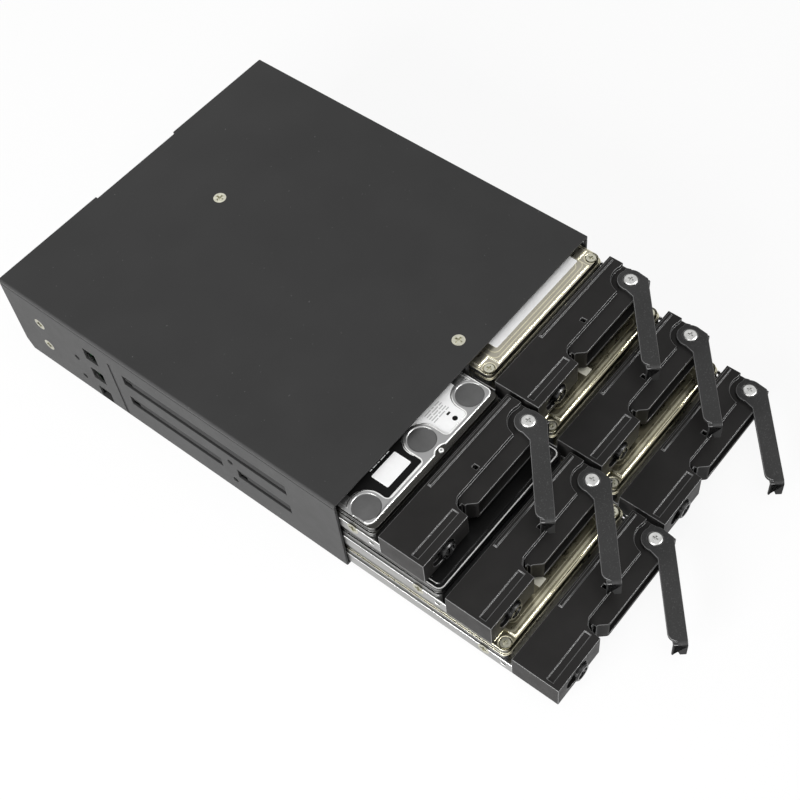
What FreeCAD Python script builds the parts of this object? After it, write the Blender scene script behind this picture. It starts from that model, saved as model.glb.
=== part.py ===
"""Hot-swap drive cage: six 2.5-inch drives on trays in one half-height 5.25-inch bay.

Sizes are in millimetres. +X is the right-hand side seen from the front, the front
faces -Y and +Z is up. The origin is the centre of the cage's flat underside.
Each tray stands partly pulled out, with its lever open.

Tray shapes are drawn in the tray's own frame: the lever's pivot axis is at x = PIVOT_U,
y = 0, and z = 0 is the tray's underside. placed() then moves them to their bay.
"""
import FreeCAD, Part
import math
import os

V = FreeCAD.Vector

# ---- Cage: a half-height 5.25-inch device ----
CAGE_W = 146.0
CAGE_H = 41.3
CAGE_D = 166.0
SHEET = 1.0                      # steel sheet of chassis, cover and divider
SIDE_HOLE_FROM_FRONT = 52.3      # first row of mounting holes
HOLE_PITCH_Y = 79.25
SIDE_HOLE_LOW_Z = 8.0
SIDE_HOLE_PITCH_Z = 11.84
BOTTOM_HOLE_EDGE = 3.15          # from the cage's side to its bottom mounting holes
MOUNT_HOLE_R = 1.25              # tapped M3, drawn at its core size

# ---- Bays ----
LEVEL_COUNT = 3
LOWEST_TRAY_Z = 2.6
TOP_LEVEL_GAP = 0.2              # left over between the highest level and the cover
TRAY_SIDE_CLEARANCE = 0.25
RUNNER_CLEARANCE = 0.1

# ---- Tray: lengths are measured from the lever's pivot ----
LEVEL_GAP = 1.7                  # from one tray's top to the underside of the next
PIVOT_FROM_SIDE = 5.0
BLOCK_L = 23.8                   # block with the lock, at the tray's left end
BLOCK_FRONT = -6.4               # front face
PLATE_REAR = 12.7                # rear edge of the bezel
SHELF_REAR = 1.1
SHELF_FRONT = -5.55
SHELF_DROP = 1.5
CLOSED_PIVOT = 2.2               # pivot behind the cage's front edge when pushed home
OPEN_ANGLE = 40.0
PAN_T = 0.6
RAIL_T = 0.5                     # upright sides of the pan

# ---- Drive: 2.5-inch form factor, 9.5 mm high ----
DRIVE_L = 100.2
DRIVE_FRONT = 15.0
DRIVE_SIDE_GAP = 0.075           # from the drive to the pan's sides
DRIVE_TOP_GAP = 2.4              # from the drive's top to the underside of the next tray
DRIVE_SIDE_HOLE_REAR = 14.0      # from the connector end
DRIVE_SIDE_HOLE_FRONT = 9.6      # from the other end
DRIVE_SIDE_HOLE_Z = 3.0          # above the drive's underside

# ---- Lever ----
LEVER_T = 1.3
LEVER_W = 6.5
LEVER_TIP_GAP = 1.8              # from the block to the closed lever's tip
LEVER_DEPTH = 7.6
BOSS_R = 4.95

# ---- Rear section, measured behind the cage's front edge ----
BOARD_GAP = 6.8                  # from a drive that is home to the backplane
BOARD_T = 1.6
PANEL_INSET = 2.0
FAN_GAP = 0.65                   # above and below each fan
FAN_DEPTH = 20.0
FAN_FROM_WALL = 6.5
FAN_TO_CABLES = 6.0

# ---- Derived sizes ----
HALF_W = CAGE_W / 2
WALL_IN = HALF_W - SHEET
DIVIDER_HALF = SHEET / 2
COLUMN_X = (WALL_IN + DIVIDER_HALF) / 2
TRAY_HALF = (WALL_IN - DIVIDER_HALF) / 2 - TRAY_SIDE_CLEARANCE
ROOF_Z = CAGE_H - SHEET
WALL_TOP = CAGE_H - 2.3
LIP_BOTTOM = WALL_TOP + 0.3
BOTTOM_HOLE_PITCH_X = CAGE_W - 2 * BOTTOM_HOLE_EDGE
LEVEL_PITCH = (ROOF_Z - LOWEST_TRAY_Z - TOP_LEVEL_GAP) / LEVEL_COUNT
LEVEL_Z = [LOWEST_TRAY_Z + LEVEL_PITCH * i for i in range(LEVEL_COUNT)]
TRAY_H = LEVEL_PITCH - LEVEL_GAP
SHELF_TOP = TRAY_H - SHELF_DROP
PIVOT_U = TRAY_HALF - PIVOT_FROM_SIDE
BLOCK_RIGHT = -TRAY_HALF + BLOCK_L
LEVER_L = PIVOT_U - BLOCK_RIGHT - LEVER_TIP_GAP
DRIVE_W = 2 * (TRAY_HALF - RAIL_T - DRIVE_SIDE_GAP)
DRIVE_H = LEVEL_PITCH - DRIVE_TOP_GAP - PAN_T
DRIVE_HALF = DRIVE_W / 2
DRIVE_TOP = PAN_T + DRIVE_H
DRIVE_REAR = DRIVE_FRONT + DRIVE_L
HOME_DRIVE_REAR = CLOSED_PIVOT + DRIVE_REAR
CONNECTOR_Z = PAN_T + 3.2
SIDE_HOLE_Z = PAN_T + DRIVE_SIDE_HOLE_Z
BOARD_Y = HOME_DRIVE_REAR + BOARD_GAP
BOARD_REAR = BOARD_Y + BOARD_T
BOARD_TOP = ROOF_Z - 1.7         # clear of the rear cover screw's tip
PANEL_Y = CAGE_D - PANEL_INSET
FAN_SIZE = ROOF_Z - SHEET - 2 * FAN_GAP
FAN_X = WALL_IN - FAN_FROM_WALL - FAN_SIZE / 2
FAN_Z = (SHEET + ROOF_Z) / 2
CABLE_BAY_W = 2 * (FAN_X - FAN_SIZE / 2 - FAN_TO_CABLES)
BLADE_COUNT = 7

# How far each pivot stands in front of the cage's front edge, as the trays are left:
# each level is one step further out than the one above, and the left column leads.
TOP_RIGHT_OUT = 23.7
LEVEL_STEP_OUT = 27.2
LEFT_LEAD = 6.7
LEVEL_NAMES = ("low", "middle", "top")
TRAYS = {}
for _level, _level_name in enumerate(LEVEL_NAMES):
    for _side, _sign, _lead in (("left", -1, LEFT_LEAD), ("right", 1, 0.0)):
        _out = TOP_RIGHT_OUT + LEVEL_STEP_OUT * (2 - _level) + _lead
        TRAYS[_side + "_" + _level_name] = (_sign * COLUMN_X, -_out, LEVEL_Z[_level])
DISC_LID_TRAY = "left_top"
PLAIN_LID_TRAY = "left_middle"


def back(distance):
    """Y of a place that lies this far behind the cage's front edge."""
    return distance - CAGE_D / 2


def box(x0, x1, y0, y1, z0, z1):
    return Part.makeBox(x1 - x0, y1 - y0, z1 - z0, V(x0, y0, z0))


def rod(x, y, z, axis, radius, length):
    """A cylinder that starts at (x, y, z) and runs along axis."""
    return Part.makeCylinder(radius, length, V(x, y, z), V(*axis))


def cone(x, y, z, axis, r_start, r_end, length):
    return Part.makeCone(r_start, r_end, length, V(x, y, z), V(*axis))


def prism(points, z0, z1):
    """A polygon in the XY plane, extruded from z0 to z1."""
    corners = [V(x, y, z0) for x, y in points]
    face = Part.Face(Part.makePolygon(corners + [corners[0]]))
    return face.extrude(V(0, 0, z1 - z0))


def side_prism(points, x0, x1):
    """A polygon in the YZ plane, extruded from x0 to x1."""
    corners = [V(x0, y, z) for y, z in points]
    face = Part.Face(Part.makePolygon(corners + [corners[0]]))
    return face.extrude(V(x1 - x0, 0, 0))


def rounded_box(x0, x1, y0, y1, z0, z1, radius):
    """A box with its four upright edges rounded."""
    solid = box(x0, x1, y0, y1, z0, z1)
    upright = [e for e in solid.Edges if abs(e.tangentAt(e.FirstParameter).z) > 0.99]
    return solid.makeFillet(radius, upright)


def rim_at(solid, axis, value):
    """The round edge of a turned solid whose centre lies at this value along an axis."""
    return [e for e in solid.Edges
            if len(e.Vertexes) == 1 and abs(getattr(e.CenterOfMass, axis) - value) < 0.01][:1]


def upright_at(solid, spots):
    """The upright edges of a prism that stand at these (x, y) spots."""
    found = []
    for edge in solid.Edges:
        middle = edge.CenterOfMass
        upright = abs(edge.tangentAt(edge.FirstParameter).z) > 0.99
        if upright and any(math.hypot(middle.x - x, middle.y - y) < 0.01 for x, y in spots):
            found.append(edge)
    return found


def fuse(shapes):
    result = shapes[0].fuse(shapes[1:]) if len(shapes) > 1 else shapes[0]
    return result.removeSplitter()


def cut(shape, tools):
    return shape.cut(Part.makeCompound(tools))


def mirror_x(shape):
    return shape.mirror(V(0, 0, 0), V(1, 0, 0))


def arc_points(cx, cy, radius, start, end, count):
    """Points on an arc, angles in degrees."""
    step = (end - start) / (count - 1)
    angles = [math.radians(start + step * i) for i in range(count)]
    return [(cx + radius * math.cos(a), cy + radius * math.sin(a)) for a in angles]


def cross_recess(x, y, z, axis, size, depth):
    """Cross-shaped driver recess that goes from (x, y, z) along axis into a screw head."""
    arm = size * 0.28
    bars = [box(-size / 2, size / 2, -arm / 2, arm / 2, 0, depth),
            box(-arm / 2, arm / 2, -size / 2, size / 2, 0, depth)]
    cross = fuse(bars)
    cross.Placement = FreeCAD.Placement(V(x, y, z), FreeCAD.Rotation(V(0, 0, 1), V(*axis)))
    return cross


def countersunk_screw(x, y, z, axis, head_r, head_h, core_r, length):
    """A flat-head screw. (x, y, z) is the centre of its head, axis points into the work."""
    head = cone(x, y, z, axis, head_r, core_r, head_h)
    core = rod(x, y, z, axis, core_r, length)
    return cut(fuse([head, core]), [cross_recess(x, y, z, axis, head_r * 1.25, head_h * 0.8)])


def countersink(x, y, z, axis, head_r, head_h, core_r, length):
    """The hole for countersunk_screw, touching it all round."""
    start = V(x, y, z) - V(*axis) * 0.01
    hole = Part.makeCone(head_r, core_r, head_h, V(x, y, z), V(*axis))
    return fuse([hole, Part.makeCylinder(core_r, length, start, V(*axis))])


# ---- Cage sheet metal ----

BRACKET_DEPTH = 8.0              # angles behind the backplane
FLANGE_GAP = 1.2                 # from those angles to the rear panel's side flanges
PANEL_FLANGE_D = PANEL_Y - BOARD_REAR - BRACKET_DEPTH - FLANGE_GAP
SIDE_SCREW_SPOTS = tuple((PANEL_Y - PANEL_FLANGE_D / 2, z) for z in (13.7, 26.5))
SCREW_HEAD_R = 2.5
SCREW_HEAD_H = 0.9
SCREW_CORE_R = 1.5
COVER_SCREW_SPOTS = ((6.0, 9.0), (6.0, BOARD_Y + 1.8))
COVER_SCREW_L = 2.5
SIDE_SCREW_L = 4.0
REAR_HOLE_ROW = SIDE_HOLE_FROM_FRONT + HOLE_PITCH_Y
SOCKET_WINDOW = 6.5
SOCKET_WINDOW_Y = REAR_HOLE_ROW - 13.55
SOCKET_WINDOW_LOW_Z = 4.2
SOCKET_WINDOW_PITCH = LEVEL_PITCH - 0.6
GROOVE_Y = SOCKET_WINDOW_Y - 8.7
GROOVE_W = 1.6
LONG_WINDOW_FRONT = 24.0
LONG_WINDOW_REAR = GROOVE_Y - 5.3
LONG_WINDOW_BELOW_TRAY = 2.6     # lower edge, below the tray that runs there
LONG_WINDOW_H = (5.2, 5.6)       # lower and upper windows
LOWER_WINDOW_Z, UPPER_WINDOW_Z = [
    (tray_z - LONG_WINDOW_BELOW_TRAY, tray_z - LONG_WINDOW_BELOW_TRAY + height)
    for tray_z, height in zip(LEVEL_Z[-2:], LONG_WINDOW_H)]
# Long windows in each side wall: front, rear, low and high edge.
LONG_WINDOWS = ((LONG_WINDOW_FRONT, LONG_WINDOW_REAR, *UPPER_WINDOW_Z),
                (SIDE_HOLE_FROM_FRONT + 5.2, LONG_WINDOW_REAR, *LOWER_WINDOW_Z),
                (LONG_WINDOW_FRONT, SIDE_HOLE_FROM_FRONT - 2.8, *LOWER_WINDOW_Z))
TOOTH_SLOT = (1.2, 6.6)          # front and rear end, behind the front edge
REAR_CORNER_CUT = (2.5, 6.0)


def tooth_slots(x0, x1):
    """Slots that a lever's cam tooth hooks into, one for each level."""
    y0, y1 = back(TOOTH_SLOT[0]), back(TOOTH_SLOT[1])
    return [box(x0, x1, y0, y1, z + SHELF_TOP - 0.6, z + TRAY_H + 0.3) for z in LEVEL_Z]


def wall_cutters():
    """Everything cut out of the left side wall."""
    outside, inside = -HALF_W - 1, -WALL_IN + 1
    tools = []
    for front, rear, low, high in LONG_WINDOWS:
        tools.append(box(outside, inside, back(front), back(rear), low, high))
    for i in range(LEVEL_COUNT):
        z, half = SOCKET_WINDOW_LOW_Z + SOCKET_WINDOW_PITCH * i, SOCKET_WINDOW / 2
        tools.append(box(outside, inside, back(SOCKET_WINDOW_Y),
                         back(SOCKET_WINDOW_Y + SOCKET_WINDOW), z - half, z + half))
    for y in (SIDE_HOLE_FROM_FRONT, REAR_HOLE_ROW):
        for z in (SIDE_HOLE_LOW_Z, SIDE_HOLE_LOW_Z + SIDE_HOLE_PITCH_Z):
            tools.append(rod(outside, back(y), z, (1, 0, 0), MOUNT_HOLE_R, 3))
    tools.append(box(outside, -HALF_W + 0.5, back(GROOVE_Y), back(GROOVE_Y + GROOVE_W),
                     1.5, WALL_TOP - 6.5))
    for y, z in SIDE_SCREW_SPOTS:
        tools.append(countersink(-HALF_W, back(y), z, (1, 0, 0), SCREW_HEAD_R, SCREW_HEAD_H,
                                 SCREW_CORE_R, 3))
    return tools


def chassis():
    front, rear = back(0), back(CAGE_D)
    tub = box(-HALF_W, HALF_W, front, rear, 0, WALL_TOP)
    tub = tub.cut(box(-WALL_IN, WALL_IN, front - 1, rear + 1, SHEET, WALL_TOP + 1))
    long_edges = [e for e in tub.Edges
                  if e.Length > CAGE_D - 1 and e.CenterOfMass.z < 0.01
                  and abs(e.CenterOfMass.x) > HALF_W - 0.01]
    tub = tub.makeFillet(0.9, long_edges)
    joggle = box(-WALL_IN, -WALL_IN + SHEET, back(1.5), back(PANEL_Y - 1.0),
                 WALL_TOP - 0.4, ROOF_Z)
    cut_y, cut_z = REAR_CORNER_CUT
    corner = side_prism([(rear - cut_y, 0), (rear, 0), (rear, cut_z)], -HALF_W - 1, -WALL_IN)
    left_cuts = wall_cutters() + [corner]
    right_cuts = [mirror_x(tool) for tool in left_cuts] + tooth_slots(WALL_IN - 1, HALF_W + 1)
    holes = [rod(x, back(y), -1, (0, 0, 1), MOUNT_HOLE_R, SHEET + 2)
             for x in (-BOTTOM_HOLE_PITCH_X / 2, BOTTOM_HOLE_PITCH_X / 2)
             for y in (SIDE_HOLE_FROM_FRONT, REAR_HOLE_ROW)]
    return fuse([cut(tub, left_cuts + right_cuts + holes), joggle, mirror_x(joggle)])


COVER_NOTCH = (-22.0, 21.0, 1.0)  # left end, right end and depth of the rear finger recess


def top_cover():
    front, rear = back(0), back(CAGE_D)
    shell = box(-HALF_W, HALF_W, front, rear, LIP_BOTTOM, CAGE_H)
    shell = shell.cut(box(-WALL_IN, WALL_IN, front - 1, rear + 1, LIP_BOTTOM - 1, ROOF_Z))
    top_edges = [e for e in shell.Edges
                 if e.Length > CAGE_D - 1 and e.CenterOfMass.z > CAGE_H - 0.01]
    shell = shell.makeFillet(0.9, top_edges)
    left, right, depth = COVER_NOTCH
    tools = [box(left, right, rear - depth, rear + 1, ROOF_Z - 1, CAGE_H + 1)]
    for x, y in COVER_SCREW_SPOTS:
        tools.append(countersink(x, back(y), CAGE_H, (0, 0, -1), SCREW_HEAD_R, SCREW_HEAD_H,
                                 SCREW_CORE_R, 3))
    return cut(shell, tools)


DIVIDER_FLANGE_W = 12.0
DIVIDER_FOOT_FRONT = 10.0
DIVIDER_FOOT_REAR = BOARD_Y - 4.2


def centre_divider():
    """Z-shaped sheet between the two columns, hung from the cover and standing on the floor."""
    web = box(-DIVIDER_HALF, DIVIDER_HALF, back(0.2), back(BOARD_Y), SHEET, ROOF_Z)
    top = box(-DIVIDER_HALF, DIVIDER_FLANGE_W, back(4.0), back(BOARD_Y + 7.0),
              ROOF_Z - SHEET, ROOF_Z)
    foot = box(-DIVIDER_FLANGE_W, DIVIDER_HALF, back(DIVIDER_FOOT_FRONT),
               back(DIVIDER_FOOT_REAR), SHEET, 2 * SHEET)
    holes = [rod(x, back(y), ROOF_Z + 1, (0, 0, -1), SCREW_CORE_R, 3)
             for x, y in COVER_SCREW_SPOTS]
    return cut(fuse([web, top, foot]), tooth_slots(-2, 2) + holes)


RUNNER_W = 2.8
RUNNER_T = 1.2
RUNNER_FRONT = 18.0
RUNNER_REAR = HOME_DRIVE_REAR - 0.4
BAR_SET_BACK = 0.55              # behind the wall's outside
BAR_GAP_BELOW = 1.1
BAR_GAP_ABOVE = 1.5
BAR_FRONT_GAP = 0.6
BAR_REAR_GAP = 4.0


def window_bars():
    """Bars on the outer runners' backs, which lie in the side walls' long windows."""
    x0, x1 = -HALF_W + BAR_SET_BACK, -WALL_IN
    bars = [box(x0, x1, back(front + BAR_FRONT_GAP), back(rear - BAR_REAR_GAP),
                low + BAR_GAP_BELOW, high - BAR_GAP_ABOVE)
            for front, rear, low, high in LONG_WINDOWS]
    return bars + [mirror_x(bar) for bar in bars]


def runner_strips():
    """Strips that the trays slide on, two for each tray, with their window bars."""
    inner = (-WALL_IN, -DIVIDER_HALF - RUNNER_W, DIVIDER_HALF, WALL_IN - RUNNER_W)
    strips = []
    for level, tray_z in enumerate(LEVEL_Z):
        top = tray_z - RUNNER_CLEARANCE
        for position, x0 in enumerate(inner):
            on_foot = position == 1
            floor = 2 * SHEET if on_foot else SHEET
            z0 = floor if level == 0 else top - RUNNER_T
            strip = box(x0, x0 + RUNNER_W, back(RUNNER_FRONT), back(RUNNER_REAR), z0, top)
            if level == 0 and position in (0, 3):
                x = math.copysign(BOTTOM_HOLE_PITCH_X / 2, x0)
                strip = strip.cut(rod(x, back(SIDE_HOLE_FROM_FRONT), 0, (0, 0, 1), 1.8, 4))
            strips.append(strip)
    return Part.makeCompound(strips + window_bars())


# ---- Backplane and its connectors ----

SOCKET_NOSE = (20.6, 2.3)        # half width and half height
SOCKET_BASE = (22.0, 3.0)
SOCKET_SLOT = (17.0, 0.9)
NOSE_REACH = 4.4                 # how far the nose enters the drive's connector pocket
SOCKET_BASE_Y = HOME_DRIVE_REAR + 0.8
PORT_DEPTH = 9.0
PORT_LOW_Z = 6.0
PORT_PITCH = (BOARD_TOP - 3.8 - PORT_LOW_Z) / 4
PORT_Z = [PORT_LOW_Z + PORT_PITCH * i for i in range(5)]   # three rows of data, two of power
DATA_PORT = (16.8, PORT_PITCH - 1.2)
POWER_PORT = (26.0, PORT_PITCH - 1.2)
DATA_PORT_X = 9.2
BOARD_HALF = WALL_IN - 1.2
BOARD_SCREW_R = 1.2
BOARD_SCREW_X = WALL_IN - 3.5
BOARD_SCREW_SPOTS = tuple((x, z - 1.25) for x in (-BOARD_SCREW_X, BOARD_SCREW_X)
                          for z in LEVEL_Z[1:])
BOARD_SCREW_HEAD_R = 2.0
BOARD_SCREW_HEAD_H = 1.2
# Vents beside each socket: inner and outer end from the bay's centre, low and high edge.
BOARD_VENT = (SOCKET_BASE[0] + 2.0, TRAY_HALF - 2.5, 1.5, TRAY_H - 2.3)
BRACKET_W = 6.0


def backplane_board():
    board = box(-BOARD_HALF, BOARD_HALF, back(BOARD_Y), back(BOARD_REAR),
                SHEET + 0.4, BOARD_TOP)
    inner, outer, low, high = BOARD_VENT
    vents = []
    for centre in (-COLUMN_X, COLUMN_X):
        for z in LEVEL_Z:
            for x in (centre - outer, centre + inner):
                vents.append(box(x, x + outer - inner, back(BOARD_Y) - 1, back(BOARD_REAR) + 1,
                                 z + low, z + high))
    bolt_holes = [rod(x, back(BOARD_Y) - 1, z, (0, 1, 0), BOARD_SCREW_R, BOARD_T + 2)
                  for x, z in BOARD_SCREW_SPOTS]
    return cut(board, vents + bolt_holes)


def board_brackets():
    """Angles on the side walls that the backplane is screwed to, from behind it."""
    y0 = back(BOARD_REAR)
    blade = box(-WALL_IN, -WALL_IN + BRACKET_W, y0, y0 + SHEET, SHEET + 2, BOARD_TOP - 2)
    leg = box(-WALL_IN, -WALL_IN + SHEET, y0, y0 + BRACKET_DEPTH, SHEET + 2, BOARD_TOP - 2)
    holes = [rod(x, y0 - 1, z, (0, 1, 0), BOARD_SCREW_R, 4)
             for x, z in BOARD_SCREW_SPOTS if x < 0]
    mount_clear = [rod(-WALL_IN - 1, back(REAR_HOLE_ROW), z, (1, 0, 0), 1.7, 3) for z in (SIDE_HOLE_LOW_Z, SIDE_HOLE_LOW_Z + SIDE_HOLE_PITCH_Z)]
    bracket = cut(fuse([blade, leg]), holes + mount_clear)
    return Part.makeCompound([bracket, mirror_x(bracket)])


def board_screws():
    screws = []
    for x, z in BOARD_SCREW_SPOTS:
        face = back(BOARD_Y) - BOARD_SCREW_HEAD_H
        head = rod(x, face, z, (0, 1, 0), BOARD_SCREW_HEAD_R, BOARD_SCREW_HEAD_H)
        core = rod(x, face + 1, z, (0, 1, 0), BOARD_SCREW_R, BOARD_T + SHEET + 0.6)
        slot = cross_recess(x, face, z, (0, 1, 0), BOARD_SCREW_HEAD_R * 1.1, 0.8)
        screws.append(fuse([head, core]).cut(slot))
    return Part.makeCompound(screws)


def drive_sockets():
    """One receptacle for each bay, with its nose towards the front."""
    sockets = []
    for sign in (-1, 1):
        for tray_z in LEVEL_Z:
            x, z = sign * COLUMN_X, tray_z + CONNECTOR_Z
            half_w, half_h = SOCKET_BASE
            base = box(x - half_w, x + half_w, back(SOCKET_BASE_Y), back(BOARD_Y),
                       z - half_h, z + half_h)
            half_w, half_h = SOCKET_NOSE
            tip = HOME_DRIVE_REAR - NOSE_REACH
            nose = box(x - half_w, x + half_w, back(tip), back(SOCKET_BASE_Y) + 0.5,
                       z - half_h, z + half_h)
            half_w, half_h = SOCKET_SLOT
            slot = box(x - half_w, x + half_w, back(tip) - 1, back(SOCKET_BASE_Y) - 0.2,
                       z - half_h, z + half_h)
            sockets.append(fuse([base, nose]).cut(slot))
    return Part.makeCompound(sockets)


def port(x, z, size):
    """A keyed cable port on the rear of the backplane, open to the rear."""
    width, height = size
    y0 = back(BOARD_REAR)
    y1 = y0 + PORT_DEPTH
    body = box(x - width / 2, x + width / 2, y0, y1, z - height / 2, z + height / 2)
    hollow = box(x - width / 2 + 1.0, x + width / 2 - 1.0, y0 + 2.5, y1 + 1,
                 z - height / 2 + 0.9, z + height / 2 - 0.9)
    blade = box(x - width / 2 + 2.2, x + width / 2 - 2.2, y0 + 2.0, y1 - 1.0, z - 0.4, z + 0.8)
    key = box(x + width / 2 - 3.4, x + width / 2 - 2.2, y0 + 2.0, y1 - 1.0, z - 1.7, z)
    return fuse([body.cut(hollow), blade, key])


def data_ports():
    ports = [port(x, z, DATA_PORT) for x in (-DATA_PORT_X, DATA_PORT_X) for z in PORT_Z[:3]]
    return Part.makeCompound(ports)


def power_ports():
    return Part.makeCompound([port(0, z, POWER_PORT) for z in PORT_Z[3:]])


# ---- Rear panel and fans ----

FAN_OPENING_R = FAN_SIZE / 2 - 1.4
FAN_SCREW_PITCH = FAN_SIZE - 6.0
FAN_SCREW_R = 1.6
FAN_SCREW_HEAD_R = 2.7
FAN_SCREW_HEAD_H = 1.4
FAN_SCREW_L = 7.0
GRILLE_RING = 1.4
GRILLE_RADII = (6.0, 11.8)
GRILLE_SPOKE = 1.8
CABLE_BAY_EDGE = 1.6             # sheet left above and below the cable opening


def fan_screw_spots():
    half = FAN_SCREW_PITCH / 2
    return [(sign * FAN_X + dx, FAN_Z + dz)
            for sign in (-1, 1) for dx in (-half, half) for dz in (-half, half)]


def fan_grille(x):
    """Rings and spokes that stay in the rear panel across a fan's opening."""
    y0 = back(PANEL_Y)
    pieces = []
    for radius in GRILLE_RADII:
        ring = rod(x, y0, FAN_Z, (0, 1, 0), radius + GRILLE_RING / 2, SHEET)
        hole = rod(x, y0 - 1, FAN_Z, (0, 1, 0), radius - GRILLE_RING / 2, SHEET + 2)
        pieces.append(ring.cut(hole))
    for i in range(4):
        spoke = box(GRILLE_RADII[0], FAN_OPENING_R + 0.3, 0, SHEET,
                    -GRILLE_SPOKE / 2, GRILLE_SPOKE / 2)
        spoke.rotate(V(0, 0, 0), V(0, 1, 0), 45 + 90 * i)
        spoke.translate(V(x, y0, FAN_Z))
        pieces.append(spoke)
    return pieces


def rear_panel():
    y0, y1 = back(PANEL_Y), back(PANEL_Y) + SHEET
    half = WALL_IN - 0.1
    plate = box(-half, half, y0, y1, SHEET, ROOF_Z)
    tools = [box(-CABLE_BAY_W / 2, CABLE_BAY_W / 2, y0 - 1, y1 + 1,
                 SHEET + CABLE_BAY_EDGE, ROOF_Z - CABLE_BAY_EDGE)]
    for sign in (-1, 1):
        tools.append(rod(sign * FAN_X, y0 - 1, FAN_Z, (0, 1, 0), FAN_OPENING_R, SHEET + 2))
    for x, z in fan_screw_spots():
        tools.append(rod(x, y0 - 1, z, (0, 1, 0), FAN_SCREW_R, SHEET + 2))
    plate = cut(plate, tools)
    flange = box(-half, -half + SHEET, y0 - PANEL_FLANGE_D, y0 + 0.5, SHEET + 0.5, WALL_TOP - 1)
    flange = cut(flange, [rod(-half - 1, back(y), z, (1, 0, 0), SCREW_CORE_R, 4)
                          for y, z in SIDE_SCREW_SPOTS])
    pieces = [plate, flange, mirror_x(flange)] + fan_grille(-FAN_X) + fan_grille(FAN_X)
    return fuse(pieces)


FAN_BORE_R = FAN_SIZE / 2 - 1.2
FAN_BARREL_T = 1.1
FAN_LUG = 4.5                    # corner gap's inner edge, inside the screw hole
FAN_FLANGE_T = 4.0
MOTOR_R = 7.5
MOTOR_T = 2.0
SHAFT_R = 1.5
STRUT_W = 3.0
ROTOR_RUNNING_FIT = 0.06
HUB_R = 8.0
BLADE_TIP_R = FAN_BORE_R - 0.8
BLADE_T = 0.9
ROTOR_GAP = 0.5                  # from the motor plate to the hub
HUB_DEPTH = 15.0
HUB_ROOF = 2.0                   # closed rear end of the hub
SHAFT_SHORT = 3.0                # the shaft ends this far inside the hub's rear face
BLADE_ROOT = (6.5, 7.6, 52.0)    # radius, chord and pitch
BLADE_TIP = (BLADE_TIP_R, 13.0, 34.0)


def fan_waist():
    """The four corner gaps between the front and rear flange of a fan frame."""
    low, high = FAN_SCREW_PITCH / 2 - FAN_LUG, FAN_SIZE / 2 + 1
    block = box(low, high, FAN_FLANGE_T, FAN_DEPTH - FAN_FLANGE_T, low, high)
    upper = [block, mirror_x(block)]
    return upper + [shape.mirror(V(0, 0, 0), V(0, 0, 1)) for shape in upper]


def fan_frame():
    """A square fan frame at x = 0, z = 0, with its front face at y = 0."""
    half = FAN_SIZE / 2
    square = box(-half, half, 0, FAN_DEPTH, -half, half)
    bore = rod(0, -1, 0, (0, 1, 0), FAN_BORE_R, FAN_DEPTH + 2)
    barrel = rod(0, 0, 0, (0, 1, 0), FAN_BORE_R + FAN_BARREL_T, FAN_DEPTH).common(square)
    corner = FAN_SCREW_PITCH / 2
    holes = [rod(x, -1, z, (0, 1, 0), FAN_SCREW_R, FAN_DEPTH + 2)
             for x in (-corner, corner) for z in (-corner, corner)]
    body = cut(fuse([cut(square, fan_waist()), barrel]), holes + [bore])
    motor = rod(0, 0, 0, (0, 1, 0), MOTOR_R, MOTOR_T)
    shaft = rod(0, 0, 0, (0, 1, 0), SHAFT_R, MOTOR_T + ROTOR_GAP + HUB_DEPTH - SHAFT_SHORT)
    struts = []
    for i in range(4):
        strut = box(MOTOR_R - 0.5, FAN_BORE_R + 0.5, 0, MOTOR_T, -STRUT_W / 2, STRUT_W / 2)
        strut.rotate(V(0, 0, 0), V(0, 1, 0), 20 + 90 * i)
        struts.append(strut)
    return fuse([body, motor, shaft] + struts)


def blade_section(radius, chord, pitch):
    """A thin slanted rectangle across the flow at this radius, for lofting a blade."""
    a = math.radians(pitch)
    along = V(0, math.sin(a), math.cos(a)) * (chord / 2)
    thick = V(0, math.cos(a), -math.sin(a)) * (BLADE_T / 2)
    centre = V(radius, 0, 0)
    corners = [centre + along + thick, centre + along - thick,
               centre - along - thick, centre - along + thick]
    return Part.makePolygon(corners + [corners[0]])


def fan_rotor():
    """Hub and lofted blades around the Y axis, with the hub's front face at y = 0."""
    hub = rod(0, 0, 0, (0, 1, 0), HUB_R, HUB_DEPTH)
    hub = hub.makeChamfer(0.8, rim_at(hub, "y", HUB_DEPTH))
    bore = rod(0, -1, 0, (0, 1, 0), SHAFT_R + ROTOR_RUNNING_FIT, HUB_DEPTH - HUB_ROOF + 1)
    blades = []
    for i in range(BLADE_COUNT):
        blade = Part.makeLoft([blade_section(*BLADE_ROOT), blade_section(*BLADE_TIP)], True, True)
        blade.translate(V(0, HUB_DEPTH / 2, 0))
        blade.rotate(V(0, 0, 0), V(0, 1, 0), 360.0 * i / BLADE_COUNT)
        blades.append(blade)
    sweep = rod(0, 0, 0, (0, 1, 0), BLADE_TIP_R, HUB_DEPTH)
    blades = [blade.common(sweep) for blade in blades]
    return fuse([hub] + blades).cut(bore)


def fan_y():
    return back(PANEL_Y - FAN_DEPTH)


def fan_frames():
    frames = []
    for sign in (-1, 1):
        frame = fan_frame()
        frame.translate(V(sign * FAN_X, fan_y(), FAN_Z))
        frames.append(frame)
    return Part.makeCompound(frames)


def placed_rotor(sign):
    rotor = fan_rotor()
    rotor.translate(V(sign * FAN_X, fan_y() + MOTOR_T + ROTOR_GAP, FAN_Z))
    return rotor


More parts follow.
